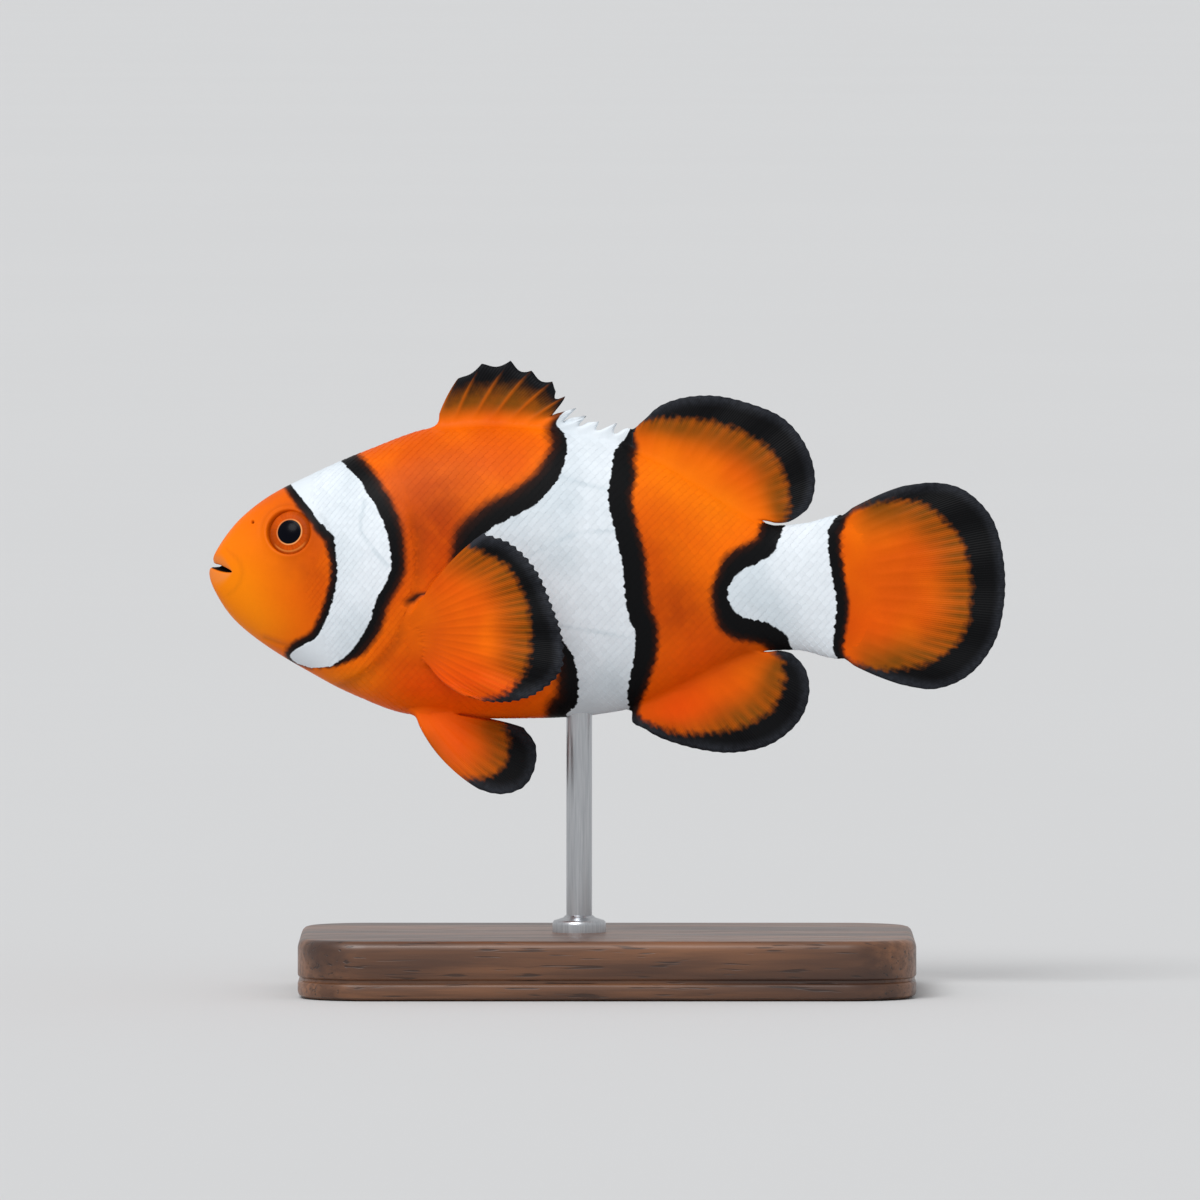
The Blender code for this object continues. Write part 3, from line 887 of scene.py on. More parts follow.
    def margins(self, flat: Array, share: Array) -> tuple[Array, Array]:
        """Measures the fin's points against its black margin and its outline.

        Args:
            flat: The fin's points in columns and rows, as (a, h).
            share: How far along its ray each point is.

        Returns:
            How far each point lies past the margin's inner line, and how far it lies inside
            the outline.
        """
        points = flat.reshape(-1, 2)
        line = line_through(self.inner)(np.linspace(0, 1, 300))
        gap, row = nearest(points, line)
        run = np.gradient(line, axis=0)[row]
        off = points - line[row]
        left = run[:, 0] * off[:, 1] - run[:, 1] * off[:, 0]
        start, end = int((share[0] < 0).sum()), int((share[-1] < 0).sum())
        rim = np.concatenate([flat[0, start:], flat[1:-1, -1], flat[-1, end:][::-1]])
        return gap * np.sign(left) * self.outside, nearest(points, rim)[0]

    def shell(self, place: Callable[[Array, Array], Array]) -> Shell:
        """Builds the fin as a closed sheet.

        Args:
            place: Gives x for each of the fin's points, from the flat points and their roots.

        Returns:
            The fin's surface with its marks.
        """
        flat, share, distance, ray = self.flat()
        x = place(flat, self.lines()[0][:, None])
        waves = self.wave * np.sin(2.1 * ray)[:, None] * ease(share, 0.3, 1.0)
        middle = np.concatenate([(x + waves)[..., None], flat], axis=2)
        out = grid_normals(middle)
        half = self.half_thickness(share, distance, ray)[..., None]
        sheets = np.stack([middle + out * half, middle - out * half])
        numbers = np.arange(sheets[..., 0].size).reshape(sheets.shape[:3])
        faces = grid_faces(numbers[0]) + [face[::-1] for face in grid_faces(numbers[1])]
        rim = np.concatenate([numbers[:, :, 0], numbers[:, -1, 1:], numbers[:, ::-1, -1][:, 1:],
                              numbers[:, 0, ::-1][:, 1:-1]], axis=1)
        faces += grid_faces(rim, closed=True)
        past, inside = self.margins(flat, share)
        marks = no_marks(flat[..., 0].size)
        marks |= {"margin": past, "edge": inside, "ray": np.repeat(ray, self.rows),
                  "reach": share.ravel(),
                  "fin": ease(distance, 0.0, 2.4 if self.spiny else 3.5).ravel(),
                  "bars": np.full(past.shape, float(self.bars)),
                  "spine": np.full(past.shape, float(self.spiny)),
                  "pale": self.pale * (ease(ray, 0.7, 0.1)[:, None]
                                       * ease(share, 0.35, 0.7)).ravel()}
        return Shell(sheets.reshape(-1, 3), faces,
                     {name: np.tile(value, 2) for name, value in marks.items()})


@dataclass(frozen=True)
class SpreadFin:
    """How fins stand: upright in the middle plane, or in pairs off the body's sides.

    Attributes:
        form: The body that it grows from.
        lift: How far it stands off at its root, once clear of the body.
        spread: How fast it spreads outwards with distance.
        cup: How soon it curves back towards the body.
        pelvic_root: How far the pelvic fin's root stands from the middle plane.
        pelvic_spread: How fast the pelvic fin spreads outwards with distance.
    """

    form: BodyForm
    lift: float = 0.85
    spread: float = 0.62
    cup: float = 0.010
    pelvic_root: float = 1.9
    pelvic_spread: float = 0.36

    def upright(self, flat: Array, roots: Array) -> Array:
        """Gives x for the points of an upright fin."""
        return 0 * (flat[..., 0] + roots[..., 0])

    def pectoral(self, flat: Array, roots: Array) -> Array:
        """Gives x for the points of the left pectoral fin.

        Args:
            flat: The points, as (a, h).
            roots: The roots of their rays.

        Returns:
            How far each point stands from the middle plane.
        """
        back = flat[..., 0] - roots[..., 0]
        start = self.form.half_breadth(roots[..., 0], roots[..., 1])
        return start + self.lift * ease(back, -0.5, 2.2) + self.spread * back - self.cup * back ** 2

    def pelvic(self, flat: Array, roots: Array) -> Array:
        """Gives x for the points of the left pelvic fin."""
        return self.pelvic_root + self.pelvic_spread * (roots[..., 1] - flat[..., 1])


@dataclass
class Fins:
    """All fins of the fish.

    Attributes:
        form: The body that they grow from.
    """

    form: BodyForm

    def __post_init__(self) -> None:
        """Sets out the fins."""
        self.spiny = FinForm(
            roots=self.on(self.form.back, 22.7, 43.0, 12),
            tips=((25, 19.8), (27.4, 21.3), (30.3, 21.6), (32.4, 20.6), (34.5, 19.5), (35.8, 18),
                  (36.9, 16.8), (37.9, 16), (39.2, 15.5), (41, 15.3), (42.4, 15.5), (43.8, 15.7)),
            rays=12, columns=10, rows=22, bow=(0.25, 0), thick=(0.4, 0.12, 0.1), flare=(0.3, 0.8),
            inner=((22.5, 17.2), (25, 18.2), (28, 18.7), (31, 18.7), (33, 18.0), (34.6, 16.6),
                   (35.6, 14.5)), outside=1, teeth=0.0, wave=0.12, spiny=True)
        self.soft = FinForm(
            roots=self.on(self.form.back, 42.6, 55.6, 8),
            tips=((43.1, 15.2), (45.5, 17.1), (50, 18.1), (54, 17.4), (58, 15.6), (60.3, 12.5),
                  (60.95, 9), (60.3, 6.8), (58.5, 5.45)),
            rays=15, columns=8, rows=28, bow=(0.3, -0.2),
            inner=((42, 14.2), (42.7, 14.9), (44, 15.5), (46, 15.7), (48, 15.7), (50, 15.5),
                   (52, 14.9), (54, 14.1), (55.5, 13.2), (57, 11.8), (57.7, 10.3), (58.2, 8.5),
                   (58.3, 7), (58, 5.9), (57.2, 4.5)), outside=1)
        self.anal = FinForm(
            roots=self.on(self.form.belly, 42.4, 56.0, 8),
            tips=((42.8, -14.8), (45, -16.2), (49, -17.5), (53, -17.9), (57, -16.8), (59.8, -14),
                  (60.4, -11.2), (59.9, -9.3), (58.7, -8.0)),
            rays=13, columns=8, rows=26, bow=(-0.3, 0.2),
            inner=((41.8, -13.2), (42.8, -14), (44, -14.7), (46, -15.5), (48, -15.9),
                   (50, -15.9), (52, -15.6), (54, -15.1), (55.5, -14.3), (56.8, -13.2),
                   (57.6, -11.5), (57.8, -10), (57.3, -8.5), (56.5, -7.5), (55.5, -6.5)),
            outside=-1)
        self.tail = FinForm(
            roots=((63.6, 6.1), (63.7, -1.2), (63.6, -8.4)),
            tips=((70, 8.95), (72.3, 9.3), (75.5, 8.8), (78.5, 6.2), (80, 1.2), (80, -3),
                  (78.9, -7.1), (76, -10.4), (73, -11.5), (70, -11.1)),
            rays=17, columns=7, rows=48, bow=(0.25, -0.25), thick=(0.55, 0.12, 0.045),
            flare=(0.0, 1.0), sink=3.0,
            inner=((62.5, 5.6), (64, 6.2), (66, 6.9), (68, 7.3), (70, 7.5), (71.5, 7.2),
                   (72.8, 6.4), (74.2, 5.2), (75.3, 4), (76.0, 2.5), (76.4, 0.8), (76.5, -2.5),
                   (76.3, -4.5), (75.7, -6), (74.8, -7.2), (73.4, -8.2), (71.5, -9.0), (69, -9.4),
                   (67, -9.4), (65.5, -9), (64, -8.5), (62.5, -7.9)), outside=1, bars=2)
        self.pectoral = FinForm(
            roots=((21.3, -2.5), (22.0, -5.5), (22.2, -8.6)),
            tips=((27.6, 4.5), (30, 3.7), (32.6, 1.3), (34.4, -2.5), (35.5, -6), (35.4, -9),
                  (33, -11.4), (30.4, -12.3), (28, -12.35), (26, -11.9)),
            rays=17, columns=10, rows=34, bow=(0.5, -0.5), thick=(0.42, 0.12, 0.045),
            flare=(0.2, 0.8), sink=1.4,
            inner=((24.5, 3.6), (27.5, 2.6), (29.5, 1.5), (30.8, 0), (31.6, -1.5), (32, -3),
                   (32.3, -5), (32.3, -7), (32, -8.5), (31.2, -10), (30, -11.2), (28.5, -11.8),
                   (26.5, -12.4)), outside=1, teeth=0.12, wave=0.3, bars=3, pale=1.0)
        self.pelvic = FinForm(
            roots=((20.5, -13.7), (22.4, -14.0), (25.2, -14.2)),
            tips=((27.2, -21.4), (28.6, -21.8), (30, -21.8), (31.7, -21.1), (32.7, -19.4),
                  (32.8, -17.3), (31.6, -15.5)),
            rays=6, columns=12, rows=30, bow=(-0.9, 0.2), thick=(0.42, 0.12, 0.05),
            flare=(0.1, 0.7), sink=1.0,
            inner=((18.5, -16.5), (20.5, -18.2), (23, -20.0), (25.5, -20.4), (27.5, -20.2),
                   (28.8, -19.8), (29.7, -18.8), (30, -17.5), (29.9, -16), (29.3, -14.8),
                   (28.4, -13.4)), outside=-1, bars=3)

    @staticmethod
    def on(outline: Curve, start: float, end: float, count: int) -> Rows:
        """Sets out root points evenly along the back or the belly."""
        places = np.linspace(start, end, count)
        return tuple(zip(places.tolist(), outline(places).tolist()))

    def shells(self) -> list[Shell]:
        """Builds every fin.

        Returns:
            The shells of the four upright fins, then of the paired ones.
        """
        spread = SpreadFin(self.form)
        made = [fin.shell(spread.upright) for fin in (self.spiny, self.soft, self.anal, self.tail)]
        for fin, place in ((self.pectoral, spread.pectoral), (self.pelvic, spread.pelvic)):
            made += both_sides(fin.shell(place))
        return made


# ---- skin
@dataclass
class BodySkin:
    """The skin of head, trunk and tail stem, from deep in the mouth to inside the tail fin.

    Attributes:
        form: The body's form.
        relief: What is raised or sunk on it.
        around: How many points lie round each ring.
        head_step: The distance between rings on the head.
        trunk_step: The distance between rings behind it.
        head_end: Where the wider spacing starts.
        depth: How far the skin lies inside the tips of the scales.
        lips: Rings from deep in the mouth to the lips, as shares of the first ring's height
            and breadth, and how far each is set back.
        mouth_rings: How many rings are made from those.
        rounded: How many sweeps round the lips.
    """

    form: BodyForm
    relief: HeadRelief
    around: int = 184
    head_step: float = 0.23
    trunk_step: float = 0.42
    head_end: float = 20.0
    depth: float = 0.06
    lips: Rows = ((0.1, 0.86, 0.95), (0.13, 0.88, 0.5), (0.15, 0.9, 0.16), (0.22, 0.93, 0.0),
                  (0.38, 0.955, -0.1), (0.68, 0.98, -0.12), (1, 1, 0))
    mouth_rings: int = 26
    rounded: int = 14

    def mouth(self, turn: Array) -> tuple[Array, Array]:
        """Builds the rings from deep in the mouth out to the lips.

        Args:
            turn: The turns of the points round a ring.

        Returns:
            The rings, and how far out each one is, from 0 to 1.
        """
        out = np.linspace(0, 1, self.mouth_rings + 1)[:-1]
        height, width, setback = line_through(self.lips)(out).T[..., None]
        rim = self.form.surface(self.form.ring_places(np.zeros(len(turn)), turn), turn)
        level = self.form.axis(rim[:, 1])
        rings = np.stack([rim[:, 0] * width, rim[:, 1] + setback,
                          level + height * (rim[:, 2] - level)], axis=-1)
        return rings, out

    def shell(self) -> Shell:
        """Builds the body.

        Returns:
            A closed surface with its marks.
        """
        turn = turns(self.around)
        first = self.form.stations[0][1]
        places = np.concatenate([np.arange(first, self.head_end, self.head_step),
                                 np.arange(self.head_end, 67, self.trunk_step)])
        numbers = self.form.ring_number(places)[:, None]
        a = self.form.ring_places(numbers, turn[None])
        rings = self.form.surface(a, turn[None] + 0 * a)
        out = self.form.normal(a, turn[None] + 0 * a)
        points = rings.reshape(-1, 3)
        raised = self.relief.height(points).reshape(a.shape)
        hollow = self.relief.hollow(points[:, 1:]).reshape(a.shape)
        sunk = self.depth * ease(numbers, 0.0, 1.0)
        rings = rings + out * (np.where(hollow < 0, hollow, raised) - sunk)[..., None]
        mouth, how_far = self.mouth(turn)
        rings = self.round_lips(np.concatenate([mouth, rings]))
        points = np.concatenate([rings.reshape(-1, 3), rings[-1].mean(axis=0)[None]])
        grid = np.arange(len(points) - 1).reshape(rings.shape[:2])
        faces = grid_faces(grid, closed=True)
        faces += fan_faces(grid[-1], len(points) - 1)
        for i in range(self.around // 2):
            across = (i, i + 1, self.around - i - 1, (self.around - i) % self.around)
            faces.append(tuple(dict.fromkeys(across)))
        marks = no_marks(len(points))
        # Painted shade: the rings deep in the mouth are painted near-black.
        ring_marks = {"gullet_shade": ease(how_far, 0.49, 0.42),
                      "lip": ease(how_far, 0.46, 0.56) * ease(how_far, 0.95, 0.7)}
        for name, value in ring_marks.items():
            marks[name][:mouth[..., 0].size] = np.repeat(value, self.around)
        # Painted shade: sunk places of the relief, such as grooves, slits and pits, are darkened by
        # their depth.
        marks["crease_shade"][mouth[..., 0].size:-1] = shade_from_depth(raised.ravel())
        return Shell(points, faces, marks)

    def round_lips(self, rings: Array) -> Array:
        """Rounds the rings of the lips, where the mouth turns into the face.

        Args:
            rings: The rings of points, from deep in the mouth to the tail.

        Returns:
            The rings with the lips rounded.
        """
        number, rim = np.arange(len(rings)), self.mouth_rings
        soft = ease(number, 0.5 * rim, 0.75 * rim) * ease(number, rim + 10, rim + 2)
        soft = soft[:, None, None]
        for _ in range(self.rounded):
            between = rings.copy()
            between[1:-1] = (rings[:-2] + rings[2:]) / 2
            rings = rings + 0.5 * soft * (between - rings)
        return rings


@dataclass(frozen=True)
class Inset:
    """A round patch of the left side's skin in fine rings, laid in a hollow of the body's grid.

    Attributes:
        form: The body's form.
        relief: What is raised or sunk on it.
        place: Where it lies, and its sizes.
        depth: How far the skin lies inside the tips of the scales.
        dip: How steeply it dips under the body's own grid past its edge.
    """

    form: BodyForm
    relief: HeadRelief
    place: Pocket
    depth: float
    dip: float = 0.5

    def shell(self) -> Shell:
        """Builds the patch.

        Returns:
            A closed surface with its marks.
        """
        place, around = self.place, self.place.around
        at, count = np.array(place.radii, float).T
        radii = np.interp(np.arange(1, count[-1] + 1), count, at)[:, None]
        turn = turns(around)
        flat = place.middle + radii[..., None] * np.stack([np.cos(turn), np.sin(turn)], axis=1)
        flat = np.concatenate([flat.reshape(-1, 2), [place.middle]])
        on_form = np.column_stack([self.form.half_breadth(*flat.T), flat])
        out = self.form.outward(*flat.T)
        raised = self.relief.height(on_form)
        past = np.append(np.repeat(radii, around), 0) - place.edge
        past = np.clip(past * self.dip, 0, None)
        top = on_form + out * (raised - self.depth - past)[:, None]
        under = on_form[-1] - out[-1] * place.root
        points = np.concatenate([top[:-1], [top[-1], under]])
        faces = round_faces(np.arange(len(top) - 1).reshape(-1, around))
        marks = no_marks(len(points))
        # Painted shade in the inset's pits and folds, darkened by their depth.
        marks["crease_shade"][:-1] = shade_from_depth(raised) * place.dark
        return Shell(points, faces, marks)


def tree_of(points: Array) -> KDTree:
    """Sorts points for a quick search.

    Args:
        points: Rows of coordinates.

    Returns:
        The tree, which knows each point by its row.
    """
    tree = KDTree(len(points))
    for i, point in enumerate(points.tolist()):
        tree.insert(point, i)
    tree.balance()
    return tree


@dataclass
class Skin:
    """One skin over body and fins.

    Its shells are united where they cross, and the crossings are rounded. A point of the
    united surface that is none of the shells' own is one that a crossing made.

    Attributes:
        fish: The fish's frame.
        shells: The shells that it is made from, the body's first.
        fin_blend: How far the rounding reaches at the fins.
        head_blend: How far it reaches on the head.
        sweeps: How many sweeps round the surface.
        pull: How strongly a sweep draws a point to its neighbours' middle.
        head_end: Where the head ends.
        shortest: How short edges on the head may be.
        weld_rounds: How often shorter ones are looked for.
        same: How near a point lies to one of the shells' own to count as that one.
    """

    fish: FishFrame
    shells: Sequence[Shell]
    fin_blend: float = 1.5
    head_blend: float = 0.7
    sweeps: int = 26
    pull: float = 0.6
    head_end: float = 15.0
    shortest: float = 0.06
    weld_rounds: int = 12
    same: float = 1e-3

    def __post_init__(self) -> None:
        """Sorts the shells' points for a quick search."""
        self.known = tree_of(np.concatenate([shell.points for shell in self.shells]))

    def solid(self, number: int, shell: Shell) -> Object:
        """Makes one shell an object in millimetres, with its faces outwards.

        Args:
            number: A number for its name.
            shell: The shell.

        Returns:
            The object.
        """
        mesh = bpy.data.meshes.new(f"shell_{number}")
        mesh.from_pydata(shell.points.tolist(), [], shell.faces)
        face_outwards(mesh)
        return add_object(mesh.name, mesh)

    def united(self) -> Mesh:
        """Unites the shells.

        Returns:
            One closed surface, still in millimetres.
        """
        solids = [self.solid(i, shell) for i, shell in enumerate(self.shells)]
        for other in solids[1:]:
            join = solids[0].modifiers.new("join", "BOOLEAN")
            join.operation = "UNION"
            join.solver = "MANIFOLD"
            join.object = other
        graph = bpy.context.evaluated_depsgraph_get()
        mesh = bpy.data.meshes.new_from_object(solids[0].evaluated_get(graph))
        for solid in solids:
            bpy.data.meshes.remove(solid.data)
        self.weld(mesh)
        return mesh

    def weld(self, mesh: Mesh) -> None:
        """Takes out short edges where shells cross on the head, keeping the surface closed.

        Args:
            mesh: The united surface.
        """
        work = bmesh.new()
        work.from_mesh(mesh)
        head = [corner for corner in work.verts if corner.co.y < self.head_end]
        new = {corner for corner in head if self.known.find(corner.co)[2] > self.same}
        rim = {face for corner in new for face in corner.link_faces}
        bmesh.ops.triangulate(work, faces=list(rim))
        for _ in range(self.weld_rounds):
            new = {corner for corner in new if corner.is_valid}
            short = {edge for corner in new for edge in corner.link_edges
                     if edge.calc_length() < self.shortest}
            short = sorted(short, key=bmesh.types.BMEdge.calc_length)
            held, merged = set(), {}
            for edge in short:
                ends = tuple(edge.verts)
                rings = [{other.other_vert(end) for other in end.link_edges} for end in ends]
                ring = rings[0] | rings[1]
                faces = {face for end in ends for face in end.link_faces}
                if (ring & held or len(rings[0] & rings[1]) != 2
                        or any(len(face.verts) > 3 for face in faces)):
                    continue
                kept, lost = ends if ends[0] not in new else ends[::-1]
                merged[lost] = kept
                held |= ring
            if not merged:
                break
            bmesh.ops.weld_verts(work, targetmap=merged)
        work.to_mesh(mesh)
        work.free()

    def carried(self, points: Array) -> tuple[dict[str, Array], Array]:
        """Carries the marks over to the united surface.

        Args:
            points: The united surface's points.

        Returns:
            The marks, and how far each point is from one of the shells' points.
        """
        found = [self.known.find_n(point, 3) for point in points.tolist()]
        rows = np.array([[hit[1] for hit in hits] for hits in found])
        gaps = np.array([[hit[2] for hit in hits] for hits in found])
        weight = 1 / (gaps + 1e-4) ** 2
        weight /= weight.sum(axis=1, keepdims=True)
        own = {name: np.concatenate([shell.marks[name] for shell in self.shells])
               for name in self.shells[0].marks}
        marks = {name: (value[rows] * weight).sum(axis=1) for name, value in own.items()}
        marks["bars"] = own["bars"][rows[:, 0]]
        return marks, gaps[:, 0]

    def relaxed(self, mesh: Mesh, points: Array, is_new: Array, blend: float) -> Array:
        """Rounds the surface where shells cross.

        Args:
            mesh: The united surface.
            points: Its points.
            is_new: Which of them lie where two shells cross.
            blend: How far the rounding reaches.

        Returns:
            The rounded points.
        """
        ends = np.empty(len(mesh.edges) * 2, int)
        mesh.edges.foreach_get("vertices", ends)
        ends = ends.reshape(-1, 2)
        crossing = tree_of(points[is_new])
        gap = np.array([crossing.find(point)[2] for point in points.tolist()])
        soft = ease(gap, blend, 0.0)[:, None] * self.pull
        degree = np.bincount(ends.ravel(), minlength=len(points))[:, None]
        for _ in range(self.sweeps):
            total = np.zeros_like(points)
            for axis in range(3):
                for here, there in ((0, 1), (1, 0)):
                    total[:, axis] += np.bincount(ends[:, here], points[ends[:, there], axis],
                                                  minlength=len(points))
            points = points + (total / degree - points) * soft
        return points

    def build(self) -> Object:
        """Builds the skin.

        Returns:
            The skin, smooth shaded, with its marks as attributes.
        """
        mesh = self.united()
        points = np.empty(len(mesh.vertices) * 3)
        mesh.vertices.foreach_get("co", points)
        points = points.reshape(-1, 3)
        marks, gap = self.carried(points)
        on_head = points[:, 1] < self.head_end
        is_new = gap > self.same
        points = self.relaxed(mesh, points, is_new & on_head, self.head_blend)
        points = self.relaxed(mesh, points, is_new & ~on_head, self.fin_blend)
        chosen = marks.pop("bars").astype(int)
        for number, bars in enumerate(BAR_SETS):
            rows = np.flatnonzero(chosen == number)
            for name, value in coat_marks(points[rows, 1:], bars).items():
                marks.setdefault(name, np.zeros(len(points)))[rows] = value
        for name, value in marks.items():
            mesh.attributes.new(name, "FLOAT", "POINT").data.foreach_set("value", value)
        mesh.vertices.foreach_set("co", self.fish.world(points).ravel())
        mesh.shade_smooth()
        mesh.update()
        return add_object("skin", mesh)


# ---- scales
@dataclass
class Girth:
    """Turns distances over the body's surface, up from the flank's middle, into turns.

    Attributes:
        form: The body's form.
        start: Where it is measured from.
        end: Where it is measured to.
        step: The distance between measured sections.
        pitch: The distance between places measured on a section.
        reach: How far up and down they go.
    """

    form: BodyForm
    start: float = 2.6
    end: float = 66.0
    step: float = 0.25
    pitch: float = 0.1
    reach: float = 27.0

    def __post_init__(self) -> None:
        """Measures sections all along the body."""
        self.a = np.arange(self.start, self.end, self.step)
        turn = np.radians(np.arange(-140, 141, 2.0))
        points = self.form.surface(*np.broadcast_arrays(self.a[:, None], turn[None]))
        steps = np.linalg.norm(np.diff(points, axis=1), axis=2)
        up = np.concatenate([np.zeros((len(self.a), 1)), np.cumsum(steps, axis=1)], axis=1)
        up -= up[:, [len(turn) // 2]]
        self.s = np.arange(-self.reach, self.reach, self.pitch)
        self.turns = np.stack([np.interp(self.s, row, turn) for row in up])
        quarter = np.radians((-90.0, 90.0))
        self.ends = np.stack([np.interp(quarter, turn, row) for row in up])

    def turn(self, a: Array, s: Array) -> Array:
        """Finds the turn at places over the body's surface.

        Args:
            a: Places along the body.
            s: Their distances up from the flank's middle.

        Returns:
            The turn round the section at each.
        """
        i = np.clip((a - self.start) / self.step, 0, len(self.a) - 1.001)
        j = np.clip((s + self.reach) / self.pitch, 0, len(self.s) - 1.001)
        i0, j0 = i.astype(int), j.astype(int)
        u, v = i - i0, j - j0
        low = self.turns[i0, j0] * (1 - v) + self.turns[i0, j0 + 1] * v
        high = self.turns[i0 + 1, j0] * (1 - v) + self.turns[i0 + 1, j0 + 1] * v
        return low * (1 - u) + high * u

    def limits(self, a: Array) -> tuple[Array, Array]:
        """How far the belly's and the back's middle lie from the flank's middle."""
        return tuple(np.interp(a, self.a, end) for end in self.ends.T)


@dataclass(frozen=True)
class ScaleRows:
    """A field of scales in half-offset rows.

    Attributes:
        start: Where the field starts along the body.
        end: Where it ends.
        pitch: The distance between scales of one row.
        row: The distance between rows.
        behind_gills: Whether it lies behind the gill opening, or else in front of it.
    """

    start: float
    end: float
    pitch: float
    row: float
    behind_gills: bool


@dataclass(frozen=True)
class ScaleForm:
    """One scale: a thin plate whose free edge stands over the next scales' roots.

    Attributes:
        lift: How high its free edge stands, and how deep its root lies.
        thickness: How thick it is.
        reach: Its length in pitches, and its breadth in rows.
        along: The places of its rows of points, from root to free edge.
        breadths: Its breadth at those places.
        roundings: How far each row is drawn back at its sides.
        columns: How many points a row has.
    """

    lift: tuple[float, float] = (-0.026, -0.082)
    thickness: float = 0.04
    reach: tuple[float, float] = (1.6, 2.15)
    along: tuple[float, ...] = (0.0, 0.42, 0.76, 1.0)
    breadths: tuple[float, ...] = (0.7, 1.0, 0.93, 0.5)
    roundings: tuple[float, ...] = (0.0, 0.05, 0.132, 0.2)
    columns: int = 4

    def plan(self) -> tuple[Array, Array, Array, Array]:
        """Works out where the points of its upper face lie.

        Returns:
            How far each lies along the scale and across it, in shares, and the offsets from
            its middle in pitches and in rows.
        """
        across, along = np.meshgrid(np.linspace(-1, 1, self.columns), self.along)
        across, along = across.ravel(), along.ravel()
        back = across ** 2 * np.interp(along, self.along, self.roundings)
        off_a = (along - 0.5 - back) * self.reach[0]
        off_s = across * np.interp(along, self.along, self.breadths) * self.reach[1] / 2
        return along, across, off_a, off_s

    def rim(self) -> list[int]:
        """Lists the numbers of the points round the edge of its upper face."""
        grid = np.arange(len(self.along) * self.columns).reshape(-1, self.columns)
        return [*grid[0], *grid[1:, -1], *grid[-1, -2::-1], *grid[-2:0:-1, 0]]

    def faces(self) -> Faces:
        """Lists the faces of the plate.

        Returns:
            The faces, with the numbers of its underside's points after its upper face's.
        """
        grid = np.arange(len(self.along) * self.columns).reshape(-1, self.columns)
        rim = self.rim()
        under = np.arange(len(rim)) + grid.size
        sides = zip(rim, np.roll(rim, -1).tolist(), np.roll(under, -1).tolist(), under.tolist())
        return (grid_faces(grid) + [(there, here, low, high) for here, there, high, low in sides]
                + [tuple(under[::-1].tolist())])

    def height(self, along: Array, across: Array) -> Array:
        """How high its upper face stands over the skin's form."""
        tip, root = self.lift
        return root + (tip - root) * along ** 0.9 - 0.008 * across ** 2


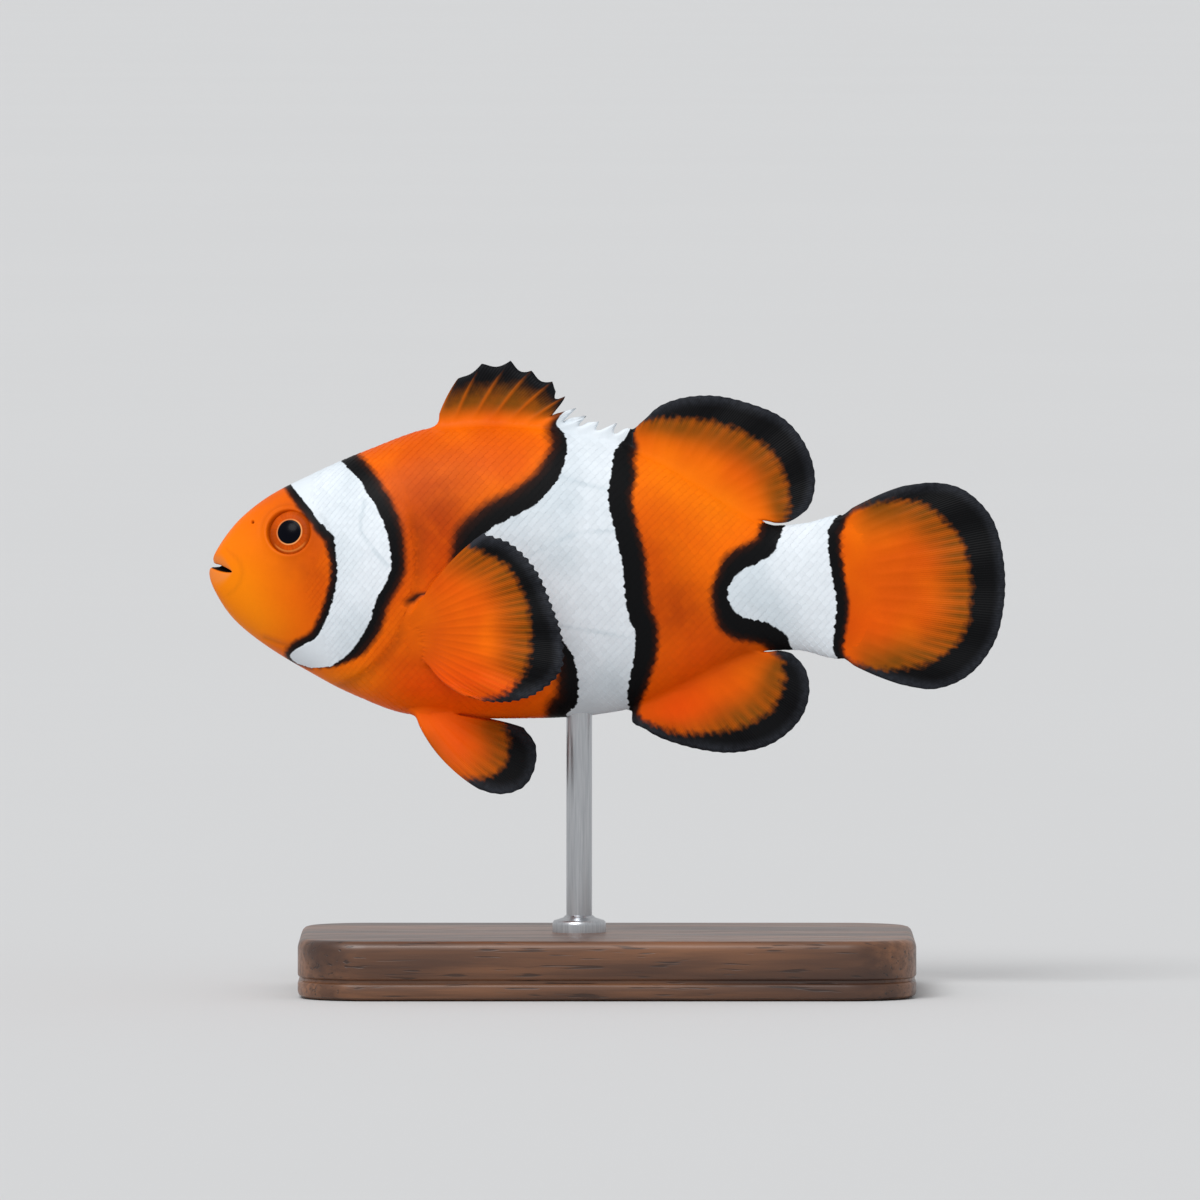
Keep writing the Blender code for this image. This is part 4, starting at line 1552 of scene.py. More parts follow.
@dataclass
class Scales:
    """The coat of scales on one side.

    Attributes:
        form: The body's form.
        relief: What is raised or sunk on it.
        girth: Distances over its surface.
        scale: The form of one scale.
        fields: The fields of scales.
        divide: Where the coat's front piece ends and its rear piece starts.
        own: How far a scale is coloured place by place, or else as its middle is.
        stray: How far scales stray along the body in pitches, in lean and in height.
        slit_gap: How far they stay off the gill slit, behind it and in front of it.
        nape: Where the rear field runs on: how far before the gills' edge, and how high.
        snout: How far back the bare snout reaches at the mouth's level.
        fin_gap: How far they stay off the middle of the pectoral fin's root.
        pelvic: The middle of the pelvic fin's root, as (a, x), and how far they stay off it.
        keel_gap: How broad a bare strip runs beside the fins of back and belly.
        back_fins: Where those of the back start and end.
        belly_fin: Where that of the belly starts and ends.
        rod: Where the stand's rod meets the belly, and how far they stay off it.
        lid_gap: How far they stay off the eye's fine rings.
        seed: The number that the random draws start from.
    """

    form: BodyForm
    relief: HeadRelief
    girth: Girth
    scale: ScaleForm = ScaleForm()
    fields: Sequence[ScaleRows] = (ScaleRows(9.6, 24.0, 0.6, 0.38, False),
                                   ScaleRows(11.0, 63.4, 0.8, 0.48, True))
    divide: float = 29.0
    own: float = 0.7
    stray: tuple[float, float, float] = (0.03, 0.035, 0.0025)
    slit_gap: tuple[float, float] = (0.15, 0.1)
    nape: tuple[float, float] = (-3.0, 8.2)
    snout: float = 9.4
    fin_gap: float = 1.55
    pelvic: tuple[float, float, float] = (22.6, 1.9, 2.4)
    keel_gap: float = 0.75
    back_fins: tuple[float, float] = (22.0, 56.5)
    belly_fin: tuple[float, float] = (42.0, 57.0)
    rod: tuple[float, float] = (37.2, 2.1)
    lid_gap: float = 0.35
    seed: int = 7

    def roots(self, rng: np.random.Generator) -> Array:
        """Places the scales.

        Args:
            rng: The source of small irregularities.

        Returns:
            For each scale its place along the body and up from the flank's middle, its
            pitch and row distance, and how far it lies inside the coat's borders.
        """
        found = []
        for rows in self.fields:
            lines = np.arange(-self.girth.reach, self.girth.reach, rows.row)
            places = np.arange(rows.start, rows.end, rows.pitch)
            a = places[None] + (np.arange(len(lines)) % 2)[:, None] * rows.pitch / 2
            s = lines[:, None] + 0 * a
            a = a + rng.normal(0, self.stray[0], a.shape) * rows.pitch
            low, high = self.girth.limits(a)
            keep = (s > low - 0.2) & (s < high + 0.2)
            a, s = a[keep], s[keep]
            inside = self.inside(self.form.surface(a, self.girth.turn(a, s)), rows)
            keep = inside > 0
            size = np.tile((rows.pitch, rows.row), (int(keep.sum()), 1))
            found.append(np.column_stack([a[keep], s[keep], size, inside[keep]]))
        return np.concatenate(found)

    def inside(self, points: Array, rows: ScaleRows) -> Array:
        """Measures how far places of a field lie inside the coat's borders.

        Args:
            points: Rows of (x, a, h).
            rows: The field.

        Returns:
            The distance from the nearest border, negative where there is no scale.
        """
        x, a, h = points.T
        flat = points[:, 1:]
        behind = self.form.behind_gills(flat)
        above = max(self.form.gill_edge()[0, 1], self.nape[1])
        nape = (h > above) & (behind > self.nape[0])
        if rows.behind_gills:
            field = np.where(nape, FAR, behind - self.slit_gap[0])
        else:
            field = np.where(nape, -FAR, -self.slit_gap[1] - behind)
        snout = a - self.snout - 0.39 * np.sin(h * 0.9) + np.minimum(h + 2, 0) * 0.35
        fin_root = np.linalg.norm((flat - self.relief.fin_base) * (1.0, 0.42), axis=1)
        pelvic = np.hypot(a - self.pelvic[0], (x - self.pelvic[1]) * 1.5) - self.pelvic[2]
        keels = [np.where(beside & (a > start) & (a < end), np.abs(x) - self.keel_gap, FAR)
                 for beside, (start, end) in ((h > 0, self.back_fins), (h < 0, self.belly_fin))]
        rod = np.where(h < -10, np.hypot(x, a - self.rod[0]) - self.rod[1], FAR)
        eye = np.hypot(*(flat - self.relief.eye.middle).T) - self.relief.eye.edge - self.lid_gap
        return np.minimum.reduce([field, snout, fin_root - self.fin_gap,
                                  np.maximum(pelvic, h + 13.0), *keels, rod, eye])

    def build(self, name: str, side: int, front: bool, fish: FishFrame) -> Object:
        """Builds one piece of the coat as joined plates.

        Args:
            name: The piece's name.
            side: 1 for the left side, or -1 for the right.
            front: Whether it is the front piece, or else the rear one.
            fish: The fish's frame.

        Returns:
            The piece, with the skin's marks and a map of its own.
        """
        rng = np.random.default_rng((self.seed + side, front))
        a0, s0, pitch, row, inside = self.roots(np.random.default_rng(self.seed + side)).T
        chosen = (a0 < self.divide) == front
        a0, s0, pitch, row, inside = (value[chosen, None] for value in (a0, s0, pitch, row, inside))
        along, across, off_a, off_s = self.scale.plan()
        rim = self.scale.rim()
        lean = rng.normal(0, self.stray[1], a0.shape)
        grid_a = a0 + off_a * pitch + lean * off_s * row
        grid_s = s0 + off_s * row
        turn = self.girth.turn(grid_a, grid_s)
        points = self.form.surface(grid_a, turn)
        out = self.form.normal(grid_a, turn)
        raised = self.relief.height(points.reshape(-1, 3)).reshape(turn.shape)
        height = raised + self.scale.height(along, across) + rng.normal(0, self.stray[2], a0.shape)
        height = height - 0.03 * along * ease(inside, 0.9, 0.0)
        top = points + out * height[..., None]
        bottom = top[:, rim] - out[:, rim] * self.scale.thickness
        corners = np.concatenate([top, bottom], axis=1)
        count = corners.shape[1]
        plate = self.scale.faces()
        if side > 0:
            plate = [face[::-1] for face in plate]
        faces = [tuple(i + start for i in face)
                 for start in range(0, len(a0) * count, count) for face in plate]
        middle = self.form.surface(a0, self.girth.turn(a0, s0))[..., 1:]
        seen = self.own * corners[..., 1:] + (1 - self.own) * middle
        marks = no_marks(corners[..., 0].size)
        marks.pop("bars")
        marks |= coat_marks(seen.reshape(-1, 2), tuple(Bars))
        # Painted shade on the scales over the relief's creases and pits, darkened by their depth.
        marks["crease_shade"] = shade_from_depth(np.concatenate([raised, raised[:, rim]], axis=1).ravel())
        marks["tone"] = np.repeat(rng.random(len(a0)), count)
        marks["tip"] = np.tile(np.concatenate([along, along[rim]]), len(a0))
        coat = make_piece(name, Shell(corners.reshape(-1, 3) * (side, 1, 1), faces, marks), fish)
        coat.data.set_sharp_from_angle(angle=math.radians(40))
        lay_map(coat, a0, s0, *(np.append(off, off[rim] * UNDER_SPREAD) for off in (off_a, off_s)))
        return coat


MAP_LENGTH = 70.0
MAP_GIRTH = 60.0
MAP_PATCH = 0.0013
UNDER_SPREAD = 1.3


def lay_map(coat: Object, a0: Array, s0: Array, off_a: Array, off_s: Array) -> None:
    """Gives each scale a small patch of the coat's map, at its root's place on the skin.

    Args:
        coat: The coat.
        a0: Each scale's place along the body.
        s0: Each scale's place up from the flank's middle.
        off_a: The places of a scale's corners along it.
        off_s: The places of a scale's corners across it.
    """
    u = a0 / MAP_LENGTH + MAP_PATCH * off_a
    v = 0.5 + s0 / MAP_GIRTH + MAP_PATCH * off_s
    at_corner = np.stack([u, v], axis=-1).reshape(-1, 2)
    layer = coat.data.uv_layers.new(name="OFBake")
    corner = np.empty(len(coat.data.loops), int)
    coat.data.loops.foreach_get("vertex_index", corner)
    layer.data.foreach_set("uv", at_corner[corner].ravel())


# ---- eyes
@dataclass(frozen=True)
class EyeForm:
    """An eyeball set in the head, with pupil, ring and iris worked into its front.

    Attributes:
        form: The body it is set in.
        place: Its middle, as (a, h).
        radius: Its radius.
        depth: Half its thickness through the pupil.
        proud: How far it stands out of the head.
        pupil: The pupil's radius.
        around: How many points lie round each ring.
        rings: How many rings its front has, which are finer, and its rear.
    """

    form: BodyForm
    place: tuple[float, float] = (8.17, 4.43)
    radius: float = 2.5
    depth: float = 1.9
    proud: float = 0.48
    pupil: float = 1.2
    around: int = 96
    rings: tuple[int, int] = (56, 12)

    def seat(self) -> tuple[Array, Array, Array, Array]:
        """Works out how the left eye is set.

        Returns:
            Its centre, and its ways outwards, back and up.
        """
        place = np.array([self.place])
        x = self.form.half_breadth(*place.T)[0]
        out = self.form.outward(*place.T)[0]
        back = np.cross(np.cross(out, (0, 1, 0)), out)
        back /= np.linalg.norm(back)
        centre = np.array([x, *self.place]) - out * (self.depth - self.proud)
        return centre, out, back, np.cross(out, back)

    def build(self, name: str, side: int, fish: FishFrame) -> Object:
        """Builds one eyeball.

        Args:
            name: The piece's name.
            side: 1 for the left eye, or -1 for the right.
            fish: The fish's frame.

        Returns:
            The eyeball, with marks for its finish.
        """
        centre, out, back, up = self.seat()
        fine, coarse = self.rings
        tilt = np.append(np.linspace(0, 1.25, fine), np.linspace(1.3, HALF_TURN, coarse))[1:-1]
        turn = turns(self.around)
        r = self.radius * np.sin(tilt)
        front = tilt < HALF_TURN / 2
        z = self.depth * np.cos(tilt) + front * self.detail(r)
        rings = (centre + out * z[:, None, None] + r[:, None, None]
                 * (back * np.cos(turn)[:, None] + up * np.sin(turn)[:, None]))
        top = centre + out * (self.depth + self.detail(np.zeros(1))[0])
        points = np.concatenate([rings.reshape(-1, 3), [top, centre - out * self.depth]])
        faces = round_faces(np.arange(len(points) - 2).reshape(-1, self.around))
        if side > 0:
            faces = [face[::-1] for face in faces]
        marks = {"from_pupil": np.append(np.repeat(np.where(front, r, 3.0), len(turn)), (0, 3)),
                 "eye_along": np.append((r[:, None] * np.cos(turn)).ravel(), (0, 0)),
                 "eye_up": np.append((r[:, None] * np.sin(turn)).ravel(), (0, 0))}
        return make_piece(name, Shell(points * (side, 1, 1), faces, marks), fish)

    def detail(self, r: Array) -> Array:
        """Finds what stands out of the eyeball's front.

        Args:
            r: Distances from the pupil's middle.

        Returns:
            The height at each.
        """
        dome = 0.05 * np.sqrt(np.clip(1 - (r / self.pupil) ** 2, 0, 1))
        ring = 0.03 * bell(r - self.pupil - 0.12, 0.1)
        fuller = 0.3 * ease(r, 1.0, 2.0) * ease(r, self.radius, self.radius - 0.2)
        return dome + ring + fuller - 0.05 * bell(r - 1.62, 0.2)


# ---- stand
@dataclass(frozen=True)
class StandForm:
    """The display stand: a wooden base, a steel rod and the collar at its foot.

    Attributes:
        corner: The radius of the base's corners.
        edge: The base's edge from its underside up, as (inset, share of the height).
        corner_points: Points round each corner.
        rod_points: Points round the rod.
        rod_rings: Rings of points along the rod.
        collar: The collar's radius and height.
        collar_rim: Its outline up to the neck, in shares of its radius and height.
        collar_neck: The rest of its outline, in shares of the rod's radius and its height.
    """

    corner: float = 7.0
    edge: Rows = ((1.0, 0), (0.5, 0.02), (0.12, 0.06), (0, 0.12), (0, 0.25), (0.08, 0.275),
                  (0.34, 0.3), (0.34, 0.345), (0.08, 0.37), (0, 0.395), (0, 0.85),
                  (0.06, 0.9), (0.22, 0.95), (0.46, 0.985), (0.8, 1.0), (1.6, 1.0), (6, 1.0))
    corner_points: int = 14
    rod_points: int = 48
    rod_rings: int = 24
    collar: tuple[float, float] = (2.7, 1.7)
    collar_rim: Rows = ((1, -0.06), (1, 0.45), (0.985, 0.6), (0.93, 0.7), (0.8, 0.76))
    collar_neck: Rows = ((1.25, 0.86), (1.14, 0.95), (1.04, 1.0), (0.8, 1.0), (0.8, -0.06))

    def base(self) -> Object:
        """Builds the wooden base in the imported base's box.

        Returns:
            The base.
        """
        low, high = (np.array(corner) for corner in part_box("stand_base"))
        side, rings = high - low, []
        for inset, share in self.edge:
            radius = max(self.corner - inset, 0.5) * MM
            inner = side[:2] / 2 - inset * MM - radius
            ring = []
            for quarter, (sx, sy) in enumerate(((1, 1), (-1, 1), (-1, -1), (1, -1))):
                turn = (quarter + np.linspace(0, 1, self.corner_points)) * HALF_TURN / 2
                ring.append(np.stack([sx * inner[0] + radius * np.cos(turn),
                                      sy * inner[1] + radius * np.sin(turn)], axis=1))
            flat = np.concatenate(ring) + (low + high)[:2] / 2
            rings.append(np.column_stack([flat, np.full(len(flat), low[2] + share * side[2])]))
        return lathe("stand_base_wood", rings)

    def rod(self) -> Object:
        """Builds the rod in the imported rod's box."""
        (left, _, foot), (right, _, top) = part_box("stand_rod")
        levels = np.linspace(foot, top, self.rod_rings)
        return self.turned("stand_rod_steel", [((right - left) / 2, level) for level in levels])

    def foot(self) -> Object:
        """Builds the collar round the rod's foot, on the base's top.

        Returns:
            The collar.
        """
        low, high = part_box("stand_rod")
        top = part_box("stand_base")[1][2]
        radius, height = (value * MM for value in self.collar)
        parts = (radius, self.collar_rim), ((high[0] - low[0]) / 2, self.collar_neck)
        rows = [(size * share, top + level * height)
                for size, part in parts for share, level in part]
        return self.turned("stand_collar", rows)

    def turned(self, name: str, rows: Sequence[tuple[float, float]]) -> Object:
        """Builds a piece turned about the rod's axis.

        Args:
            name: The piece's name.
            rows: Its outline, as (radius, height) in metres.

        Returns:
            The piece.
        """
        low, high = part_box("stand_rod")
        middle = (low[0] + high[0]) / 2, (low[1] + high[1]) / 2
        turn = turns(self.rod_points)
        rings = [np.stack([middle[0] + r * np.cos(turn), middle[1] + r * np.sin(turn),
                           z + 0 * turn], axis=1) for r, z in rows]
        return lathe(name, rings)


def lathe(name: str, rings: Sequence[Array]) -> Object:
    """Builds a closed piece through like rings in metres, flat at both ends.

    Args:
        name: The piece's name.
        rings: Rows of (x, y, z) for each ring.

    Returns:
        The piece.
    """
    grid = np.arange(sum(len(ring) for ring in rings)).reshape(len(rings), -1)
    faces = grid_faces(grid, closed=True)
    faces += [tuple(grid[0][::-1].tolist()), tuple(grid[-1].tolist())]
    mesh = bpy.data.meshes.new(name)
    mesh.from_pydata(np.concatenate(rings).tolist(), [], faces)
    face_outwards(mesh, weld=1e-7)
    mesh.shade_smooth()
    mesh.set_sharp_from_angle(angle=math.radians(35))
    return add_object(name, mesh)


# ---- finishes
Value = Socket | float | Sequence[float]


def srgb(*display: int) -> tuple[float, ...]:
    """A colour for a node, from its red, green and blue as displayed, out of 255."""
    linear = [c / 12.92 if c <= 0.04045 else ((c + 0.055) / 1.055) ** 2.4
              for c in (value / 255 for value in display)]
    return (*linear, 1.0)


class Nodes:
    """Builds one material's nodes in small steps."""

    def __init__(self, name: str) -> None:
        """Starts an empty material.

        Args:
            name: The material's name.
        """
        self.material = bpy.data.materials.new(name)
        self.material.use_nodes = True
        self.tree = self.material.node_tree
        self.tree.nodes.clear()
        self.place = self.new("ShaderNodeTexCoord").outputs["Object"]

    def new(self, kind: str, inputs: dict[str | int, Value] | None = None,
            **settings: object) -> bpy.types.Node:
        """Adds a node.

        Args:
            kind: The node's type.
            inputs: What its sockets get, each a value or another node's output.
            **settings: Its own properties.

        Returns:
            The node.
        """
        node = self.tree.nodes.new(kind)
        for name, value in settings.items():
            setattr(node, name, value)
        for name, value in (inputs or {}).items():
            if isinstance(value, Socket):
                self.tree.links.new(value, node.inputs[name])
            else:
                node.inputs[name].default_value = value
        return node

    def mark(self, name: str) -> Socket:
        """Reads a mark of the mesh."""
        return self.new("ShaderNodeAttribute", attribute_name=name).outputs["Fac"]

    def noise(self, size: float, detail: float = 3.0, rough: float = 0.5,
              stretch: tuple[float, float, float] | None = None) -> Socket:
        """Adds noise about 0.5.

        Args:
            size: The size of its features in millimetres.
            detail: How many finer layers it has.
            rough: How strong those are.
            stretch: How many times longer its features are along each axis.

        Returns:
            The noise.
        """
        place = self.place
        if stretch:
            scale = tuple(1 / value for value in stretch)
            place = self.new("ShaderNodeMapping", {"Vector": place, "Scale": scale}).outputs[0]
        inputs = {"Vector": place, "Scale": 1 / (size * MM), "Detail": detail, "Roughness": rough}
        return self.new("ShaderNodeTexNoise", inputs).outputs["Fac"]

    def math(self, kind: str, first: Value, second: Value = 0.0) -> Socket:
        """Adds a sum of this kind."""
        return self.new("ShaderNodeMath", {0: first, 1: second}, operation=kind).outputs[0]

    def add(self, *values: Value) -> Socket:
        """Adds values up."""
        return reduce(partial(self.math, "ADD"), values)

    def times(self, *values: Value) -> Socket:
        """Multiplies values."""
        return reduce(partial(self.math, "MULTIPLY"), values)

    def less(self, value: Value, amount: float) -> Socket:
        """Gives 1, lowered by this much of a value."""
        return self.add(1.0, self.times(value, -amount))

    def sway(self, noise: Value, amount: float) -> Socket:
        """Turns noise into a value that sways about 0."""
        return self.times(self.add(noise, -0.5), amount)

    def step(self, value: Value, low: float, high: float, top: float = 1.0,
             base: float = 0.0) -> Socket:
        """Rises smoothly as a value goes from low to high.

        Args:
            value: The value.
            low: Where it starts to rise.
            high: Where it ends.
            top: What it rises to.
            base: What it rises from.

        Returns:
            The result.
        """
        inputs = {"Value": value, "From Min": low, "From Max": high, "To Min": base, "To Max": top}
        node = self.new("ShaderNodeMapRange", inputs, interpolation_type="SMOOTHSTEP")
        return node.outputs["Result"]

    def mix(self, share: Value, first: Value, second: Value) -> Socket:
        """Mixes two colours."""
        inputs = {"Factor": share, 6: first, 7: second}
        return self.new("ShaderNodeMix", inputs, data_type="RGBA").outputs[2]

    def bump(self, height: Value, rise: float, below: Value | None = None) -> Socket:
        """Turns a height into a bump.

        Args:
            height: The height, in shares of the rise.
            rise: How high the bump is, in millimetres.
            below: The bump that it lies on.

        Returns:
            The normal.
        """
        inputs = {"Height": height, "Distance": rise * MM, "Strength": 1.0}
        if below is not None:
            inputs["Normal"] = below
        return self.new("ShaderNodeBump", inputs).outputs[0]

    def finish(self, **sockets: Value) -> Material:
        """Ends in one Principled shader.

        Args:
            **sockets: What its sockets get, named with _ for spaces.

        Returns:
            The material.
        """
        inputs = {name.replace("_", " "): value for name, value in sockets.items()}
        shader = self.new("ShaderNodeBsdfPrincipled", inputs)
        output = self.new("ShaderNodeOutputMaterial")
        self.tree.links.new(shader.outputs[0], output.inputs["Surface"])
        return self.material


@dataclass(frozen=True)
class FishFinish:
    """The painted skin and scales: orange, with white bars edged in black."""

    bright: Value = srgb(250, 112, 0)
    middle: Value = srgb(232, 94, 0)
    dark: Value = srgb(168, 56, 0)
    golden: Value = srgb(255, 140, 0)
    olive: Value = srgb(125, 71, 6)
    ruddy: Value = srgb(255, 76, 0)
    streak: Value = srgb(238, 104, 2)
    black: Value = srgb(11, 12, 14)
    brown: Value = srgb(52, 20, 8)
    rim: Value = srgb(50, 53, 60)
    white: Value = srgb(234, 241, 247)
    cool: Value = srgb(192, 206, 214)
    lip: Value = srgb(226, 136, 72)
    # Painted shade colour: near-black for the inside of the mouth and for creases and pits.
    gullet_shade: Value = srgb(12, 6, 5)

    def fins(self, n: Nodes, orange: Value, fine: Value, mid: Value) -> tuple[Value, Value, Value]:
        """Works out the colour of the fins.

        Args:
            n: The material's nodes.
            orange: The body's orange.
            fine: Fine noise.
            mid: Coarser noise.

        Returns:
            The orange as it is on the fins, how far the black margin covers it, and the
            margin's colour.
        """
        fin, ray, reach, margin = (n.mark(name) for name in ("fin", "ray", "reach", "margin"))
        spine = n.mark("spine")
        one, two = (n.math("POWER", n.math("ABSOLUTE", n.math("COSINE", n.times(ray, turn))), 4.0)
                    for turn in (HALF_TURN, 2 * HALF_TURN))
        outer = n.step(reach, 0.35, 0.75)
        rays = n.math("MAXIMUM", one, n.times(two, outer, 0.9))
        rays = n.add(n.times(rays, n.less(spine, 1.0)), n.times(spine, n.math("POWER", one, 6.0)))
        from_black = n.add(margin, n.times(spine, 2.8))
        browned = n.times(fin, n.step(from_black, -4.6, -0.5), n.step(mid, 0.2, 0.7, 1.0, 0.85),
                          n.step(n.mark("ruddy"), 0.1, 0.7, 0.15, 1.0),
                          n.math("MAXIMUM", spine, n.step(reach, 0.1, 0.5, 1.0, 0.55)))
        colour = n.mix(browned, orange, self.olive)
        lit = n.times(rays, fin, n.math("MAXIMUM", outer, spine),
                      n.step(margin, 0.6, -1.5, 0.42, 0.25))
        colour = n.mix(lit, colour, self.streak)
        past = n.add(margin, n.times(rays, n.add(-0.2, n.times(spine, -0.85))),
                     n.sway(fine, 0.7), n.sway(n.noise(0.8, 1), 0.8))
        past = n.math("DIVIDE", past, n.less(spine, -1.6))
        rim = n.times(n.step(n.mark("edge"), 1.3, 0.05), n.step(fine, 0.3, 0.7, 0.8, 0.4),
                      n.less(spine, 0.8))
        rim = n.math("MAXIMUM", rim, n.mark("pale"))
        return colour, n.step(past, -0.55, 0.45), n.mix(rim, self.black, self.rim)

    def build(self) -> Material:
        """Builds the finish.

        Returns:
            The material.
        """
        n = Nodes("fish_skin_finish")
        large, mid, fine = n.noise(9.0, 2), n.noise(2.2, 3), n.noise(0.45, 3, 0.6)
        tone = n.step(n.mark("tone"), 0.0, 1.0)
        orange = n.mix(n.step(large, 0.38, 0.66), self.middle, self.bright)
        deep = n.times(n.mark("deep"), n.step(mid, 0.2, 0.6, 1.0, 0.6))
        orange = n.mix(deep, orange, self.dark)
        orange = n.mix(n.mark("ruddy"), orange, self.ruddy)
        orange = n.mix(n.times(n.mark("golden"), 0.85), orange, self.golden)
        orange, edged, dark_rim = self.fins(n, orange, fine, mid)
        around = n.add(n.mark("black"), n.sway(n.noise(0.7, 2), 0.4))
        around = n.math("DIVIDE", around, n.mark("blur"))
        border = n.mix(n.step(around, 0.0, 2.0), self.brown, self.black)
        colour = n.mix(n.step(around, -0.8, 0.8), orange, border)
        colour = n.mix(edged, colour, dark_rim)
        barred = n.step(n.add(n.mark("white"), n.sway(fine, 0.16)), -0.06, 0.07)
        white = n.mix(n.step(large, 0.35, 0.7, 0.5), self.white, self.cool)
        white = n.mix(n.times(n.mark("vein"), n.step(mid, 0.3, 0.6, 0.5, 0.15)), white, self.cool)
        colour = n.mix(barred, colour, white)
        colour = n.mix(n.times(n.mark("lip"), n.step(mid, 0.2, 0.6, 0.6, 0.4)), colour, self.lip)
        # Painted shade: creases and pits darkened by their depth toward near-black, plus the
        # scales' free edges a little darker, random tone and fine noise.
        shade = n.add(n.times(n.mark("crease_shade"), 0.9), n.step(n.mark("tip"), 0.75, 1.0, 0.03),
                      n.times(tone, 0.05), n.times(fine, 0.06))
        colour = n.mix(shade, colour, self.gullet_shade)
        # Painted shade: the inside of the mouth painted near-black.
        colour = n.mix(n.mark("gullet_shade"), colour, self.gullet_shade)
        rough = n.add(0.4, n.times(mid, 0.12), n.times(n.mark("fin"), 0.06),
                      n.times(n.mark("gullet_shade"), 0.3))
        threads = n.times(n.mark("fin"), n.step(n.mark("reach"), 0.35, 0.75),
                          n.math("COSINE", n.times(n.mark("ray"), 16 * HALF_TURN)))
        normal = n.bump(threads, 0.012, n.bump(fine, 0.01))
        return n.finish(Base_Color=colour, Roughness=rough, Normal=normal, IOR=1.4,
                        Specular_IOR_Level=0.12)


@dataclass(frozen=True)
class EyeFinish:
    """The glossy eye: a blue-black pupil in a pale ring and an orange iris."""

    pupil: Value = srgb(3, 4, 12)
    ring: Value = srgb(236, 156, 92)
    iris: Value = srgb(210, 82, 0)
    shade: Value = srgb(146, 54, 0)
    # Painted highlight: the colour of a pale crescent painted along the iris's lower edge.
    pale: Value = srgb(232, 132, 56)

    def build(self) -> Material:
        """Builds the finish.

        Returns:
            The material.
        """
        n = Nodes("eye_finish")
        r, along, up = n.mark("from_pupil"), n.mark("eye_along"), n.mark("eye_up")
        place = n.new("ShaderNodeCombineXYZ", {"X": along, "Y": up}).outputs[0]
        unit = n.new("ShaderNodeVectorMath", {0: place}, operation="NORMALIZE").outputs[0]
        spokes, blotch = (
            n.new("ShaderNodeTexNoise", {"Vector": at, "Scale": scale, "Detail": detail}).outputs[0]
            for at, scale, detail in ((unit, 9.0, 3.0), (place, 1.3, 2.0)))
        iris = n.mix(n.step(spokes, 0.35, 0.65, 0.3), self.iris, self.shade)
        sides = n.math("ABSOLUTE", n.add(along, n.times(up, 0.35), 0.1))
        iris = n.mix(n.step(sides, 0.5, 2.2, 0.7), iris, self.shade)
        iris = n.mix(n.step(blotch, 0.4, 0.7, 0.25), iris, self.shade)
        # Painted highlight: a pale crescent along the lower edge of the iris.
        lower_highlight = n.step(n.math("ABSOLUTE", n.add(r, -1.95)), 0.13, 0.02)
        iris = n.mix(n.times(n.step(up, -0.9, -1.6), lower_highlight, 0.85), iris, self.pale)
        wobble = n.add(r, n.sway(blotch, 0.05))
        # Painted shade: the pale ring round the pupil is half as bright toward the front and above,
        # under the fold.
        bright = n.step(n.add(along, n.times(up, -0.6)), -0.9, 0.7, 1.0, 0.5)
        colour = n.mix(n.times(n.step(wobble, 1.4, 1.31), bright), iris, self.ring)
        colour = n.mix(n.step(wobble, 1.27, 1.2), colour, self.pupil)
        rough = n.step(r, 1.1, 1.5, 0.45, 0.24)
        outside = n.step(r, 1.2, 1.45)
        return n.finish(Base_Color=colour, Roughness=rough, IOR=1.34, Specular_IOR_Level=0.12,
                        Normal=n.bump(n.times(spokes, outside), 0.02))


@dataclass(frozen=True)
class WalnutFinish:
    """Oiled walnut, with its grain along the base."""

    dark: Value = srgb(62, 36, 22)
    light: Value = srgb(128, 84, 54)
    pore: Value = srgb(34, 18, 11)

    def build(self) -> Material:
        """Builds the finish.

        Returns:
            The material.
        """
        n = Nodes("walnut_finish")
        bands = n.noise(4.5, 3, 0.55, (1.0, 16.0, 1.4))
        lines = n.noise(0.55, 3, 0.6, (1.0, 26.0, 1.2))
        pores = n.step(n.noise(0.32, 1, 0.5, (1.0, 14.0, 1.0)), 0.62, 0.72)
        wood = n.mix(n.step(bands, 0.36, 0.66), self.dark, self.light)
        wood = n.mix(n.step(lines, 0.4, 0.65, 0.5), wood, self.dark)
        wood = n.mix(n.times(pores, 0.7), wood, self.pore)
        height = n.add(n.times(lines, 0.5), n.times(pores, -1.0))
        return n.finish(Base_Color=wood, Roughness=n.step(lines, 0.3, 0.7, 0.5, 0.36),
                        Normal=n.bump(height, 0.03), Coat_Weight=0.25, Coat_Roughness=0.22)


@dataclass(frozen=True)
class SteelFinish:
    """Fine-brushed steel."""

    light: Value = srgb(198, 200, 203)
    dark: Value = srgb(178, 181, 185)

    def build(self) -> Material:
        """Builds the finish.

        Returns:
            The material.
        """
        n = Nodes("steel_finish")
        brush = n.noise(0.12, 2, 0.6, (1.0, 1.0, 40.0))
        stain = n.noise(3.0, 2)
        colour = n.mix(n.step(brush, 0.3, 0.7), self.dark, self.light)
        rough = n.add(0.24, n.times(brush, 0.1), n.times(stain, 0.08))
        return n.finish(Base_Color=colour, Metallic=1.0, Roughness=rough,
                        Normal=n.bump(brush, 0.003))


@dataclass(frozen=True)
class FloorFinish:
    """A plain pale floor."""

    colour: Value = (0.64, 0.645, 0.65, 1)
    other: Value = (0.635, 0.64, 0.645, 1)

    def build(self) -> Material:
        """Builds the finish.

        Returns:
            The material.
        """
        n = Nodes("floor_finish")
        colour = n.mix(n.step(n.noise(400.0, 2), 0.3, 0.7), self.colour, self.other)
        rough = n.step(n.noise(30.0, 3), 0.3, 0.7, 0.95, 0.85)
        return n.finish(Base_Color=colour, Roughness=rough, Specular_IOR_Level=0.1)


